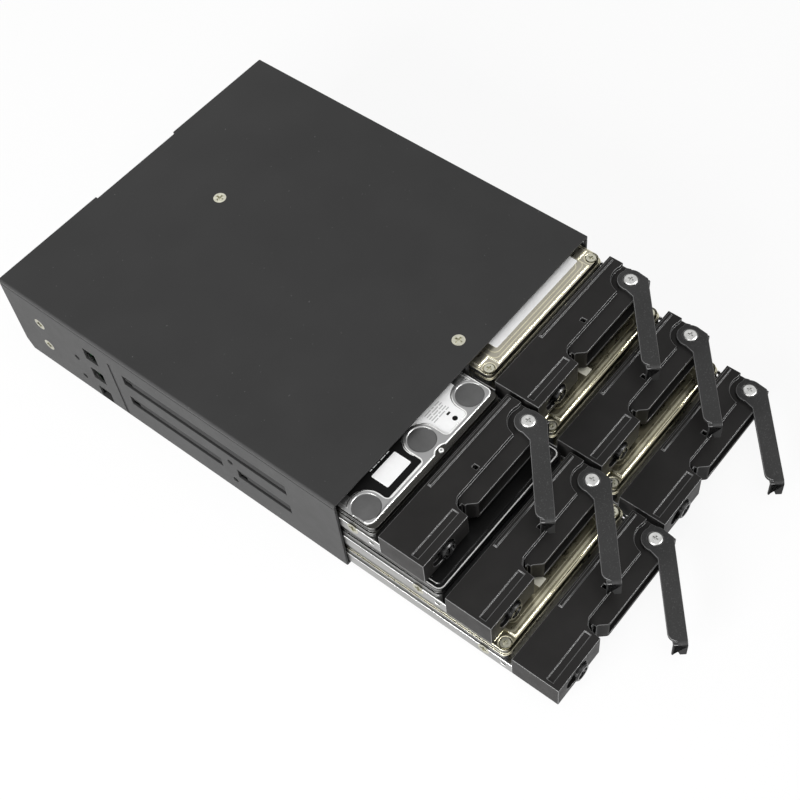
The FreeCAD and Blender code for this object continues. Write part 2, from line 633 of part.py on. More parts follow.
def fan_screws():
    screws = []
    face = back(PANEL_Y) + SHEET
    for x, z in fan_screw_spots():
        head = rod(x, face, z, (0, 1, 0), FAN_SCREW_HEAD_R, FAN_SCREW_HEAD_H)
        core = rod(x, face + 0.1, z, (0, -1, 0), FAN_SCREW_R, FAN_SCREW_L)
        slot = cross_recess(x, face + FAN_SCREW_HEAD_H, z, (0, -1, 0), 3.0, 0.9)
        screws.append(fuse([head, core]).cut(slot))
    return Part.makeCompound(screws)


def cover_screws():
    return Part.makeCompound([
        countersunk_screw(x, back(y), CAGE_H, (0, 0, -1), SCREW_HEAD_R, SCREW_HEAD_H,
                          SCREW_CORE_R, COVER_SCREW_L) for x, y in COVER_SCREW_SPOTS])


def side_screws():
    left = [countersunk_screw(-HALF_W, back(y), z, (1, 0, 0), SCREW_HEAD_R, SCREW_HEAD_H,
                              SCREW_CORE_R, SIDE_SCREW_L) for y, z in SIDE_SCREW_SPOTS]
    return Part.makeCompound(left + [mirror_x(screw) for screw in left])


# ---- Tray: black bezel ----

PLATE_T = 1.4
FLOOR_T = 1.2
SIDE_T = 1.2
SHELF_T = 1.4
ARC_R = 7.3                      # clearance pocket round the lever's boss
ARC_SHOULDER = 6.7               # where the pocket runs out to the tray's right side
RIB = (BLOCK_RIGHT + 1.5, TRAY_HALF - 1.1, 10.5, 11.8)   # left, right, front and rear
RIB_H = 0.8
LABEL_SLOT = (-TRAY_HALF + 1.5, BLOCK_RIGHT - 0.9, -3.1, -0.6, 0.5)
SENSOR_HOLE = (PIVOT_U - 26.3, PIVOT_U - 24.7, 2.3, 4.3)
LOCK_U = -TRAY_HALF + 12.2
LOCK_W = TRAY_H / 2 - 0.2
LOCK_R = 3.6
LOCK_POCKET_R = 4.0
LOCK_POCKET_SHIFT = 4.0          # the pocket runs on past the lock, to the left
LOCK_POCKET_DEPTH = 1.6
LOCK_BORE_DEPTH = 5.4
LOCK_PROUD = 1.3
LOCK_FIT = 0.05
POST_R = 3.2
PIVOT_CORE_R = 1.5
POST_HOLE_R = 1.25
# Notch that the lever's tip drops into.
NOTCH_LEFT = BLOCK_RIGHT + 0.4
NOTCH_RIGHT = BLOCK_RIGHT + 3.9
NOTCH_REAR = -2.6
SHELF_CORNER = BLOCK_RIGHT + 6.6
NOTCH_ROUND = 1.5                # outer corners of shelf and plate beside the notch
NOTCH_HOLLOW_ROUND = 1.0         # inner corners
FINGER_SLOT = (BLOCK_RIGHT + 1.1, BLOCK_RIGHT + 3.2, -1.2)   # left, right and rear end
HOLLOW_LEFT = BLOCK_RIGHT + 6.9
GRILLE_SLOT = (BLOCK_RIGHT + 9.2, 2.4, 3.8)   # first slot, width and pitch
GRILLE_Z = (2.4, SHELF_TOP - 2.7)
REAR_VENT = (3.5, 5.0, 8)        # margin at both ends, width and count
REAR_VENT_Z = (2.6, TRAY_H - 3.6)


def shelf_outline():
    """The lowered shelf under the lever, with its clearance pocket round the boss."""
    start = math.degrees(math.asin(ARC_SHOULDER / ARC_R))
    end = 180 - math.degrees(math.asin(SHELF_REAR / ARC_R))
    arc = arc_points(PIVOT_U, 0, ARC_R, start, end, 10)
    return ([(TRAY_HALF + 1, SHELF_FRONT - 1), (TRAY_HALF + 1, ARC_SHOULDER)] + arc +
            [(NOTCH_RIGHT, SHELF_REAR), (NOTCH_LEFT + 1.1, -0.3), (NOTCH_LEFT, NOTCH_REAR + 0.2),
             (NOTCH_LEFT, SHELF_FRONT - 1)])


def bezel_blank():
    """The bezel's outline at full height, with the notch's corners rounded."""
    nose = (SHELF_CORNER, SHELF_FRONT)
    inner = [(NOTCH_LEFT, NOTCH_REAR), (NOTCH_RIGHT, NOTCH_REAR)]
    blank = prism([(-TRAY_HALF, BLOCK_FRONT), (BLOCK_RIGHT, BLOCK_FRONT)] + inner +
                  [nose, (TRAY_HALF, SHELF_FRONT), (TRAY_HALF, PLATE_REAR),
                   (-TRAY_HALF, PLATE_REAR)], 0, TRAY_H)
    blank = blank.makeFillet(NOTCH_ROUND, upright_at(blank, [nose]))
    return blank.makeFillet(NOTCH_HOLLOW_ROUND, upright_at(blank, inner))


def above_shelf():
    """The space over the shelf, with the plate's corner by the notch rounded."""
    space = prism(shelf_outline(), SHELF_TOP, TRAY_H + 1)
    return space.makeFillet(NOTCH_ROUND, upright_at(space, [(NOTCH_RIGHT, SHELF_REAR)]))


def bezel_hollows():
    """The hollows under the block, plate and shelf, open to the front below the shelf."""
    right = TRAY_HALF - SIDE_T
    top = SHELF_TOP - SHELF_T
    return [box(-TRAY_HALF + SIDE_T, BLOCK_RIGHT + 3.7, SHELF_REAR, PLATE_REAR - SIDE_T,
                FLOOR_T, TRAY_H - PLATE_T),
            box(BLOCK_RIGHT + 3.2, right, SHELF_REAR - 0.5, PLATE_REAR - SIDE_T,
                FLOOR_T, top + 0.3),
            box(HOLLOW_LEFT, right, SHELF_FRONT - 1, -2.2, FLOOR_T, top),
            box(HOLLOW_LEFT, right, -1.2, SHELF_REAR, FLOOR_T, top)]


def tray_bezel():
    solid = cut(bezel_blank(), [above_shelf()] + bezel_hollows())
    left, right, front, rear, depth = LABEL_SLOT
    tools = [box(left, right, front, rear, TRAY_H - depth, TRAY_H + 1)]
    left, right, front, rear = SENSOR_HOLE
    tools.append(box(left, right, front, rear, SHELF_TOP - SHELF_T, TRAY_H + 1))
    left, right, rear = FINGER_SLOT
    tools.append(box(left, right, BLOCK_FRONT - 1, rear, FLOOR_T, TRAY_H + 1))
    tools += grille_slots() + rear_vents() + lock_pocket()
    solid = cut(solid, tools)
    post = rod(PIVOT_U, 0, 0, (0, 0, 1), POST_R, SHELF_TOP)
    left, right, front, rear = RIB
    rib = box(left, right, front, rear, TRAY_H - 0.5, TRAY_H + RIB_H)
    solid = fuse([solid, post, rib])
    return solid.cut(rod(PIVOT_U, 0, 1.0, (0, 0, 1), POST_HOLE_R, TRAY_H))


def grille_slots():
    """Air slots in the upright wall under the shelf, up to the lever's post."""
    first, width, pitch = GRILLE_SLOT
    count = int((PIVOT_U - POST_R - 1 - width - first) / pitch) + 1
    return [box(first + pitch * i, first + pitch * i + width, -3.0, 0, *GRILLE_Z)
            for i in range(count)]


def rear_vents():
    margin, width, count = REAR_VENT
    left = -TRAY_HALF + margin
    pitch = (2 * (TRAY_HALF - margin) - width) / (count - 1)
    return [box(left + pitch * i, left + pitch * i + width, PLATE_REAR - SIDE_T - 1,
                PLATE_REAR + 1, *REAR_VENT_Z) for i in range(count)]


def lock_pocket():
    """The bore for the lock, and the shallow pocket round it that runs on to the left."""
    y0 = BLOCK_FRONT - 1
    depth = LOCK_POCKET_DEPTH + 1
    right = rod(LOCK_U, y0, LOCK_W, (0, 1, 0), LOCK_POCKET_R, depth)
    left = rod(LOCK_U - LOCK_POCKET_SHIFT, y0, LOCK_W, (0, 1, 0), LOCK_POCKET_R - 0.6, depth)
    bridge = box(LOCK_U - LOCK_POCKET_SHIFT, LOCK_U, y0, y0 + depth,
                 LOCK_W - LOCK_POCKET_R + 0.6, LOCK_W + LOCK_POCKET_R - 0.6)
    bore = rod(LOCK_U, y0, LOCK_W, (0, 1, 0), LOCK_R + LOCK_FIT, LOCK_BORE_DEPTH + 1)
    return [right, left, bridge, bore]


LOCK_RIM = 1.2
KEY_SLOT = (0.4, 1.9, 2.6)       # half width, half height and depth


def lock_barrel():
    """Slotted lock plug that turns in the block's bore."""
    front = BLOCK_FRONT - LOCK_PROUD
    length = LOCK_PROUD + LOCK_BORE_DEPTH - 0.1
    plug = rod(LOCK_U, front, LOCK_W, (0, 1, 0), LOCK_R, length)
    plug = plug.makeChamfer(0.5, rim_at(plug, "y", front))
    dish = rod(LOCK_U, front - 1, LOCK_W, (0, 1, 0), LOCK_R - LOCK_RIM, 1.4)
    half_w, half_h, depth = KEY_SLOT
    key_slot = box(LOCK_U - half_w, LOCK_U + half_w, front - 1, front + depth,
                   LOCK_W - half_h, LOCK_W + half_h)
    return cut(plug, [dish, key_slot])


# ---- Tray: steel pan ----

RAIL_H = 5.2
PAN_REAR = DRIVE_REAR - 1.5
PAN_SIDE_HOLE = (PLATE_REAR + 2.7, PLATE_REAR + 4.7, 1.6, 3.2)
PAN_WINDOW_ROUND = 4.0
PAN_EDGE = 6.5                   # sheet left beside the windows
PAN_END = 12.5                   # sheet left before and behind them
PAN_MIDDLE = (6.0, 8.0)          # sheet left between them, across and along
SIDE_SCREW_HEAD_R = 2.4
SIDE_SCREW_HEAD_H = 0.9
SIDE_SCREW_CORE_R = 1.5
SIDE_SCREW_TRAY_L = 3.6
DRIVE_SCREW_SPOTS = (DRIVE_FRONT + DRIVE_SIDE_HOLE_FRONT, DRIVE_REAR - DRIVE_SIDE_HOLE_REAR)


def pan_windows():
    """Four rounded openings in the pan's floor, two by two."""
    across, along = PAN_MIDDLE
    u0, u1 = across / 2, TRAY_HALF - PAN_EDGE
    length = (PAN_REAR - PLATE_REAR - 2 * PAN_END - along) / 2
    windows = []
    for v0 in (PLATE_REAR + PAN_END, PAN_REAR - PAN_END - length):
        right = rounded_box(u0, u1, v0, v0 + length, -1, PAN_T + 1, PAN_WINDOW_ROUND)
        windows += [right, mirror_x(right)]
    return windows


def pan():
    """Folded steel pan under the drive, fixed to the bezel's rear by its front flange."""
    sheet = box(-TRAY_HALF, TRAY_HALF, PLATE_REAR, PAN_REAR, 0, PAN_T)
    flange = box(-TRAY_HALF + 4, TRAY_HALF - 4, PLATE_REAR, PLATE_REAR + RAIL_T, 0, 2.2)
    inner_half = TRAY_HALF - RAIL_T
    rail = box(-TRAY_HALF, -inner_half, PLATE_REAR, PAN_REAR, 0, RAIL_H)
    slope = side_prism([(PAN_REAR - 6, RAIL_H), (PAN_REAR, RAIL_H - 3.2), (PAN_REAR + 1, RAIL_H)],
                       -TRAY_HALF - 1, -TRAY_HALF + 2)
    front, rear, low, high = PAN_SIDE_HOLE
    tools = [slope, box(-TRAY_HALF - 1, -inner_half + 1, front, rear, low, high)]
    for y in DRIVE_SCREW_SPOTS:
        tools.append(countersink(-TRAY_HALF, y, SIDE_HOLE_Z, (1, 0, 0), SIDE_SCREW_HEAD_R,
                                 SIDE_SCREW_HEAD_H, SIDE_SCREW_CORE_R, 4))
    rail = cut(rail, tools)
    return fuse([cut(sheet, pan_windows()), flange, rail, mirror_x(rail)])


# ---- Drive ----

CASE_CORNER_R = 2.6
LID_STEP_Z = 2.6                 # the lid's rim is this far below the drive's top
LID_INSET = 0.6
LID_RIM_DROP = 0.6               # the lid's flat rim, below its raised middle
PLUG_POCKET = (21.2, 2.7, 5.0)   # half width, half height and depth
PLUG_BLADE = (16.4, 0.6, 4.7)     # half width, half height and length
# Raised middle of each kind of lid: how far it stands in from the sides and from the ends,
# and its corner radius.
LID_MIDDLE = {"disc": (1.0, 2.5, 2.6), "plain": (2.5, 2.5, 1.6), "stepped": (1.9, 1.9, 1.6)}
DISC_SPOTS = ((-DRIVE_HALF + 6.2, 8.4), (3.2, 10.2), (DRIVE_HALF - 7.2, 8.4))   # u, from the end
DISC_R = 5.2
DISC_RIM_R = 6.6
DISC_DEPTH = 0.2
LABEL_WELL = (4.2, 0.35)         # front edge, from the drive's end, and depth
LABEL_WELL_ROUND = 1.8
PIN_SPOT = (3.8, 2.2)            # locating pin at the lid's front edge: u, from the end
PIN_R = 0.95
PIN_NOTCH_R = 4.2
PIN_NOTCH_DEPTH = 1.2
SCREW_CORNER = (4.7, 5.4)        # corner of a stepped lid left low for its screw: along, across
LID_SCREW_U = DRIVE_HALF - 3.5
LID_SCREW_R = 1.9
LID_SCREW_ENDS = (DRIVE_FRONT + 3.3, DRIVE_REAR - 3.3)
LID_SCREW_HEAD_H = 1.2
LID_SCREW_SEAT = 1.6


def drive_case(kind):
    """A 2.5-inch drive: cast case, stepped lid and connector pocket at the rear."""
    base = rounded_box(-DRIVE_HALF, DRIVE_HALF, DRIVE_FRONT, DRIVE_REAR, PAN_T,
                       DRIVE_TOP - LID_STEP_Z, CASE_CORNER_R)
    half = DRIVE_HALF - LID_INSET
    lid = rounded_box(-half, half, DRIVE_FRONT + LID_INSET, DRIVE_REAR - LID_INSET,
                      DRIVE_TOP - LID_STEP_Z - 0.5, DRIVE_TOP - LID_RIM_DROP, CASE_CORNER_R)
    z = CONNECTOR_Z
    half_w, half_h, depth = PLUG_POCKET
    bottom = DRIVE_REAR - depth
    pocket = box(-half_w, half_w, bottom, DRIVE_REAR + 1, z - half_h, z + half_h)
    half_w, half_h, length = PLUG_BLADE
    blade = box(-half_w, half_w, bottom - 0.5, bottom + length, z - half_h, z + half_h)
    solid = fuse([cut(fuse([base, lid, raised_lid(kind)]), [pocket]), blade])
    tools = []
    for sign in (-1, 1):
        if kind == "stepped":
            tools += [rod(sign * LID_SCREW_U, y, DRIVE_TOP - LID_SCREW_SEAT, (0, 0, 1),
                          LID_SCREW_R + 0.35, 5) for y in LID_SCREW_ENDS]
        for y in DRIVE_SCREW_SPOTS:
            tools.append(countersink(sign * TRAY_HALF, y, SIDE_HOLE_Z, (-sign, 0, 0),
                                     SIDE_SCREW_HEAD_R, SIDE_SCREW_HEAD_H, SIDE_SCREW_CORE_R, 4))
    return cut(solid, tools)


def raised_lid(kind):
    """The pressed-up middle of the lid. Its outline depends on the kind of drive."""
    z0, z1 = DRIVE_TOP - LID_RIM_DROP - 0.3, DRIVE_TOP
    side, end, corner_r = LID_MIDDLE[kind]
    half, front, rear = DRIVE_HALF - side, DRIVE_FRONT + end, DRIVE_REAR - end
    plate = rounded_box(-half, half, front, rear, z0, z1, corner_r)
    if kind == "disc":
        return disc_lid(plate, z1)
    if kind == "stepped":
        along, across = SCREW_CORNER
        right = [box(half - across, half + 1, y0, y1, z0 - 1, z1 + 1)
                 for y0, y1 in ((front - 1, front + along), (rear - along, rear + 1))]
        return cut(plate, right + [mirror_x(corner) for corner in right])
    return plate


def disc_lid(plate, top):
    """A lid with three round bosses, a shallow well for labels round them, and a pin."""
    well_front, well_depth = LABEL_WELL
    v0 = DRIVE_FRONT + well_front
    well = box(-DRIVE_HALF + 2.2, DRIVE_HALF - 2.2, v0, DRIVE_REAR - 6.0,
               top - well_depth, top + 1)
    rims = []
    for u, v in DISC_SPOTS:
        rims.append(rod(u, DRIVE_FRONT + v, top - 1, (0, 0, 1), DISC_RIM_R, 3))
        rims.append(box(u - DISC_RIM_R, u + DISC_RIM_R, v0 - 1, DRIVE_FRONT + v, top - 1, top + 2))
    well = cut(well, rims)
    sides = [(u + sign * DISC_RIM_R, v0) for u, v in DISC_SPOTS for sign in (-1, 1)]
    well = well.makeFillet(LABEL_WELL_ROUND, upright_at(well, sides))
    discs = [rod(u, DRIVE_FRONT + v, top - DISC_DEPTH, (0, 0, 1), DISC_R, 1)
             for u, v in DISC_SPOTS]
    u, v = PIN_SPOT
    front = DRIVE_FRONT + LID_MIDDLE["disc"][1]
    notch = rod(u, front + PIN_NOTCH_DEPTH - PIN_NOTCH_R, top - 2, (0, 0, 1), PIN_NOTCH_R, 3)
    pin = rod(u, DRIVE_FRONT + v, top - 2, (0, 0, 1), PIN_R, 1.9)
    return fuse([cut(plate, [well, notch] + discs), pin])


def drive_screws(kind):
    """The side screws that hold one drive in its pan, and the lid screws of a stepped lid."""
    screws = []
    for sign in (-1, 1):
        if kind == "stepped":
            for y in LID_SCREW_ENDS:
                x, seat = sign * LID_SCREW_U, DRIVE_TOP - LID_SCREW_SEAT
                head = rod(x, y, seat, (0, 0, 1), LID_SCREW_R, LID_SCREW_HEAD_H)
                recess = cross_recess(x, y, seat + LID_SCREW_HEAD_H, (0, 0, -1), 2.2, 0.7)
                screws.append(head.cut(recess))
        for y in DRIVE_SCREW_SPOTS:
            screws.append(countersunk_screw(sign * TRAY_HALF, y, SIDE_HOLE_Z, (-sign, 0, 0),
                                            SIDE_SCREW_HEAD_R, SIDE_SCREW_HEAD_H,
                                            SIDE_SCREW_CORE_R, SIDE_SCREW_TRAY_L))
    return Part.makeCompound(screws)


# ---- Lever ----

WALL_T = 0.8
LEVER_TOP = TRAY_H - 0.1
HEAD_R = 2.6
HEAD_SINK = 0.6
HEAD_H = 1.1
PIVOT_FIT = 0.05
TIP_ROUND = 3.0                  # rounded inner corner of the arm's top
TIP_SET_BACK = 1.6               # the arm's top ends this far short of the tip
TIP_WALL_T = 0.9
TIP_SHOULDER = (0.4, 0.7, 1.4)   # sloping shoulder of the tip: along, first and second drop
FINGER = (1.4, 0.7)              # catch at the tip: from the pivot line, and width
FINGER_TOP = 1.9                 # the gap beside the catch starts this far down
FINGER_GAP = 2.1                 # and is this wide at the bottom


def lever_outline():
    """The arm's top, with the outer corner on the boss and the tip's inner corner rounded."""
    corner = math.radians(-OPEN_ANGLE)
    end = LEVER_L - TIP_SET_BACK
    tip = arc_points(-end + TIP_ROUND, -TIP_ROUND, TIP_ROUND, 90, 180, 6)
    return ([(0.3, -LEVER_W), (BOSS_R * math.cos(corner), BOSS_R * math.sin(corner)), (0, 0)] +
            tip + [(-end, -LEVER_W)])


def lever_tip(bottom):
    """The end wall: a sloping shoulder, a slanted gap and the thin catch beside it."""
    along, first, second = TIP_SHOULDER
    outer, inner = -LEVER_L, -LEVER_L + TIP_WALL_T
    start, width = FINGER
    top_end = -LEVER_L + TIP_SET_BACK
    profile = [(top_end + 0.8, LEVER_TOP), (top_end, LEVER_TOP), (outer + along, LEVER_TOP - first),
               (outer, LEVER_TOP - second), (outer, bottom), (inner, bottom),
               (inner, LEVER_TOP - LEVER_T), (top_end + 0.8, LEVER_TOP - LEVER_T)]
    corners = [V(u, -LEVER_W, z) for u, z in profile]
    face = Part.Face(Part.makePolygon(corners + [corners[0]]))
    wall = face.extrude(V(0, LEVER_W - start, 0))
    over = box(outer - 1, top_end + 1, -TIP_ROUND, 0, LEVER_TOP - first, LEVER_TOP + 1)
    catch = -start - width
    gap = side_prism([(catch, LEVER_TOP - FINGER_TOP), (catch, bottom - 1),
                      (catch - FINGER_GAP, bottom - 1), (catch - FINGER_GAP, bottom)],
                     outer - 1, inner + 1)
    return cut(wall, [over, gap])


def lever_closed():
    """Lever in its closed pose: pivot at the origin, arm towards -X, outer side towards -Y."""
    low, bottom = LEVER_TOP - LEVER_T, LEVER_TOP - LEVER_DEPTH
    arm = prism(lever_outline(), low, LEVER_TOP)
    boss = rod(0, 0, low, (0, 0, 1), BOSS_R, LEVER_T)
    web = prism([(-4.2, 2.4), (-7.6, 0), (-4.2, -1.0)], low, LEVER_TOP)
    tooth = prism([(0, 3.0), (3.8, 2.55), (5.9, 0.95), (5.2, -0.85), (0, -1.0)], low, LEVER_TOP)
    wall = box(-LEVER_L + TIP_WALL_T / 2, -2.1, -LEVER_W, -LEVER_W + WALL_T, bottom, LEVER_TOP)
    end = LEVER_L - TIP_SET_BACK
    wall = wall.cut(box(-LEVER_L - 1, -end, -LEVER_W - 1, 0, LEVER_TOP - TIP_SHOULDER[2],
                        LEVER_TOP + 1))
    lever = fuse([arm, boss, web, tooth, wall, lever_tip(bottom)])
    seat = rod(0, 0, LEVER_TOP - HEAD_SINK, (0, 0, 1), HEAD_R + 0.25, 2)
    hole = rod(0, 0, low - 1, (0, 0, 1), PIVOT_CORE_R + PIVOT_FIT, 4)
    return cut(lever, [seat, hole])


def lever():
    shape = lever_closed()
    shape.rotate(V(0, 0, 0), V(0, 0, 1), OPEN_ANGLE)
    shape.translate(V(PIVOT_U, 0, 0))
    return shape


def pivot_screw():
    """Shouldered screw that the lever turns on, with a shallow domed head."""
    seat = LEVER_TOP - HEAD_SINK + 0.02
    head = rod(PIVOT_U, 0, seat, (0, 0, 1), HEAD_R, HEAD_H)
    head = head.makeChamfer(0.35, rim_at(head, "z", seat + HEAD_H))
    shoulder = rod(PIVOT_U, 0, SHELF_TOP, (0, 0, 1), PIVOT_CORE_R, seat - SHELF_TOP + 0.1)
    thread = rod(PIVOT_U, 0, 1.6, (0, 0, 1), POST_HOLE_R, SHELF_TOP - 1.5)
    recess = cross_recess(PIVOT_U, 0, seat + HEAD_H, (0, 0, -1), 2.2, 0.6)
    return fuse([head, shoulder, thread]).cut(recess)


# ---- Output ----

def placed(shape, tray):
    """Move a shape from the tray's own frame to where that tray stands."""
    x, pivot, z = TRAYS[tray]
    copy = shape.copy()
    copy.translate(V(x, back(pivot), z))
    return copy


def save(name, shape):
    shape.exportStep("parts/" + name + ".step")


def lid_kind(tray):
    if tray == DISC_LID_TRAY:
        return "disc"
    if tray == PLAIN_LID_TRAY:
        return "plain"
    return "stepped"


def main():
    os.makedirs("parts", exist_ok=True)
    save("chassis", chassis())
    save("top_cover", top_cover())
    save("centre_divider", centre_divider())
    save("runner_strips", runner_strips())
    save("backplane_board", backplane_board())
    save("board_brackets", board_brackets())
    save("board_screws", board_screws())
    save("drive_sockets", drive_sockets())
    save("data_ports", data_ports())
    save("power_ports", power_ports())
    save("rear_panel", rear_panel())
    save("fan_frames", fan_frames())
    save("fan_rotor_left", placed_rotor(-1))
    save("fan_rotor_right", placed_rotor(1))
    save("fan_screws", fan_screws())
    save("cover_screws", cover_screws())
    save("side_screws", side_screws())
    shared = {"tray": tray_bezel(), "pan": pan(), "lever": lever(),
              "pivot_screw": pivot_screw(), "lock": lock_barrel()}
    drives = {kind: drive_case(kind) for kind in LID_MIDDLE}
    screws = {kind: drive_screws(kind) for kind in LID_MIDDLE}
    for tray in TRAYS:
        for name, shape in shared.items():
            save(name + "_" + tray, placed(shape, tray))
        save("drive_" + tray, placed(drives[lid_kind(tray)], tray))
        save("drive_screws_" + tray, placed(screws[lid_kind(tray)], tray))


main()
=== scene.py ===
"""Looks, lights and camera for the hot swap drive cage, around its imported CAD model.

The sheet shells, bezels, levers, drives and pans are copies of their CAD nodes with rounded
edges. All other nodes are painted as they are. Labels and stamped beads are thin pieces of their
own, which lie on the drives' lids.
"""
import bmesh
import bpy
import math
from mathutils import Matrix, Vector

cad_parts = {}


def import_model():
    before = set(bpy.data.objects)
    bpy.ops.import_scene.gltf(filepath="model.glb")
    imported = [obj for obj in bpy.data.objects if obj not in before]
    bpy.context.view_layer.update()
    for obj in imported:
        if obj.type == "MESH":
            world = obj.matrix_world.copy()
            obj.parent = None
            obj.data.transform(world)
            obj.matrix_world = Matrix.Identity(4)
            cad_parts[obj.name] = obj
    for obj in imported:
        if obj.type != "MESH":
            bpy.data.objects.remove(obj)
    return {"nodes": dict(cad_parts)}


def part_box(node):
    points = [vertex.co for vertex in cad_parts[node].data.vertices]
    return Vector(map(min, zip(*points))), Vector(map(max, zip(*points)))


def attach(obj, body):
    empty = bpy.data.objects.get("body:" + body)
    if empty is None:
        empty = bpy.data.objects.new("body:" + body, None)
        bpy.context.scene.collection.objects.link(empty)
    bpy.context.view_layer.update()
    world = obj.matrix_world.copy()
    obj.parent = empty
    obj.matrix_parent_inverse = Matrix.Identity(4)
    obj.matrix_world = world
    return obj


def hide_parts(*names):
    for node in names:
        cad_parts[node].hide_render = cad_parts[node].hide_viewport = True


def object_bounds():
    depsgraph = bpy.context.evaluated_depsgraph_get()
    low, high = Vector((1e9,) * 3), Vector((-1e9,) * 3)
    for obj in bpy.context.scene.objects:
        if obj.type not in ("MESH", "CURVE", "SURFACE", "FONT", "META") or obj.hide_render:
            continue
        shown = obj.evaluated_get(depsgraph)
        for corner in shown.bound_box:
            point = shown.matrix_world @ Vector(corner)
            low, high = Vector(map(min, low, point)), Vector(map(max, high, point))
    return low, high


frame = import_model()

CAD_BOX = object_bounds()
NODES = frame["nodes"]
MM = 0.001

COLUMNS = ("left", "right")
LEVELS = ("low", "middle", "top")
TRAYS = [column + "_" + level for column in COLUMNS for level in LEVELS]
DISC_DRIVE = "left_top"          # its lid has round bosses, with labels in a well between them
PLAIN_DRIVE = "left_middle"      # its lid is dark and flat
LABEL_DRIVE = "right_top"        # its lid has one large label


# ---- Sizes, in millimetres ----

# Width of the rounded edges
COVER_ROUNDING = 0.18
CHASSIS_ROUNDING = 0.12
BEZEL_ROUNDING = 0.20
LEVER_ROUNDING = 0.20
DRIVE_ROUNDING = 0.15
PAN_ROUNDING = 0.15

LID_BORDER = 0.35                # painted highlight: a light strip along the outlines of a lid's flat tops
WELD_GAP = 0.002                 # points of a CAD mesh that lie closer than this are one point
LEVER_TOP_T = 0.3                # the lever's sides and hook, from this far below its top, get a painted shade
CASE_BELOW = 0.45                # the disc drive's case, from this far below its lid's top, gets a painted shade

# Places on a lid are u, v: to the right of its middle, and behind its front end.
DISC_SPOTS = ((-28.9, 8.4), (3.2, 10.2), (27.9, 8.4))
DISC_R = 5.2
DISC_BORDER = 0.5                # this much around a sunk disc has no painted highlight strip
DISC_SUNK = 0.1                  # the discs' floors lie more than this below the lid's top
DISC_CLEAR_R = 7.0               # a label keeps this far from a boss's middle
WELL_FRONT = 4.7
WELL_DEPTH = 0.35

# Labels: left, right, front and rear end
LABEL_REAR = 80.0
BLANK_FIELD = (-18.6, -6.0, 7.4, 14.8)
BAR_MARK = (16.4, 18.0, 9.2, 10.0)
LARGE_LABEL = (-23.0, 27.0, 6.2, LABEL_REAR)
LEFT_TAB = (-8.2, -4.2, 6.2, 11.0)
RIGHT_TAB = (-6.8, -3.0, 5.4, 10.5)
FIELD_CORNER_R = 0.5
MARK_CORNER_R = 0.2
LABEL_CORNER_R = 0.8
TAB_CORNER_R = 0.3
LABEL_T = 0.08
PRINT_T = LABEL_T / 2

# Marks that stand for small print: each row is a line of plain bars of these lengths.
ROUND_MARK = (17.0, 6.5)
ROUND_MARK_R = 1.0
FIELD_PRINT_SPOT = (-17.3, 16.2)
FIELD_PRINT_ROWS = ((1.2, 2.0, 1.0, 2.6, 1.4),)
FIELD_PRINT_PITCH = 0.9
SMALL_PRINT_SPOT = (11.2, 11.0)
SMALL_PRINT_ROWS = ((2.4, 3.2, 1.6), (3.4, 1.2, 2.4), (1.8, 2.6, 2.2), (2.4, 3.2, 1.6),
                    (3.4, 1.2, 2.4))
SMALL_PRINT_PITCH = 1.05
BAR_HEIGHT = 0.42                # share of the rows' pitch, and so is the radius of its corners
BAR_CORNER = 0.12
BAR_GAP = 0.5

# Stamped beads: half their width across the lid, their front end, and the width of the line
# The beads are coloured in the bright bronze, as a painted highlight.
BEIGE_BEADS = ((27.5, 3.1, 0.35), (25.5, 4.6, 0.35))
BRONZE_BEADS = ((28.0, 3.0, 0.9), (25.0, 4.8, 0.3))
STAMPED_LIDS = {LABEL_DRIVE: BEIGE_BEADS, "right_middle": BRONZE_BEADS,
                "right_low": BRONZE_BEADS, "left_low": BRONZE_BEADS}
LIP_HIGHLIGHT_LINE = (34.0, 0.9, 0.4)     # a painted highlight: a light line along the rim of the dark lid
RIM_DROP = 0.6                   # the lids' flat rims are this far below their tops
BEAD_REAR = LABEL_REAR + 2
BEAD_CORNER_R = 2.5
BEAD_CORNER_STEPS = 8
BEAD_T = 0.06


# ---- Angles and directions of faces ----

SHARP_ANGLE = math.radians(32)   # an edge is rounded where its faces turn by more than this
CREASE_ANGLE = math.radians(50)  # and shaded as a crease where they turn by more than this
FLAT_ANGLE = math.radians(1.0)   # faces that turn by less than this are one face
LEVEL_NORMAL = 0.9999            # z of the normal of a flat top
FLOOR_NORMAL = 0.9               # z of the normal of a disc's floor
TOP_NORMAL = 0.7                 # z of the normal of what counts as a lever's top
FLANK_NORMAL = 0.5               # x of the normal of a drive's flank

FACES, EDGES = 0, 1              # a mesh's first two materials, by their number; the edges' one is mostly a painted highlight


# ---- Materials ----

NOISE_RANGE = (0.3, 0.7)         # what most of a noise's values lie in


def feed(tree, socket, value):
    """Links a socket to another one, or sets it to a plain value."""
    if isinstance(value, bpy.types.NodeSocket):
        tree.links.new(value, socket)
    else:
        socket.default_value = value


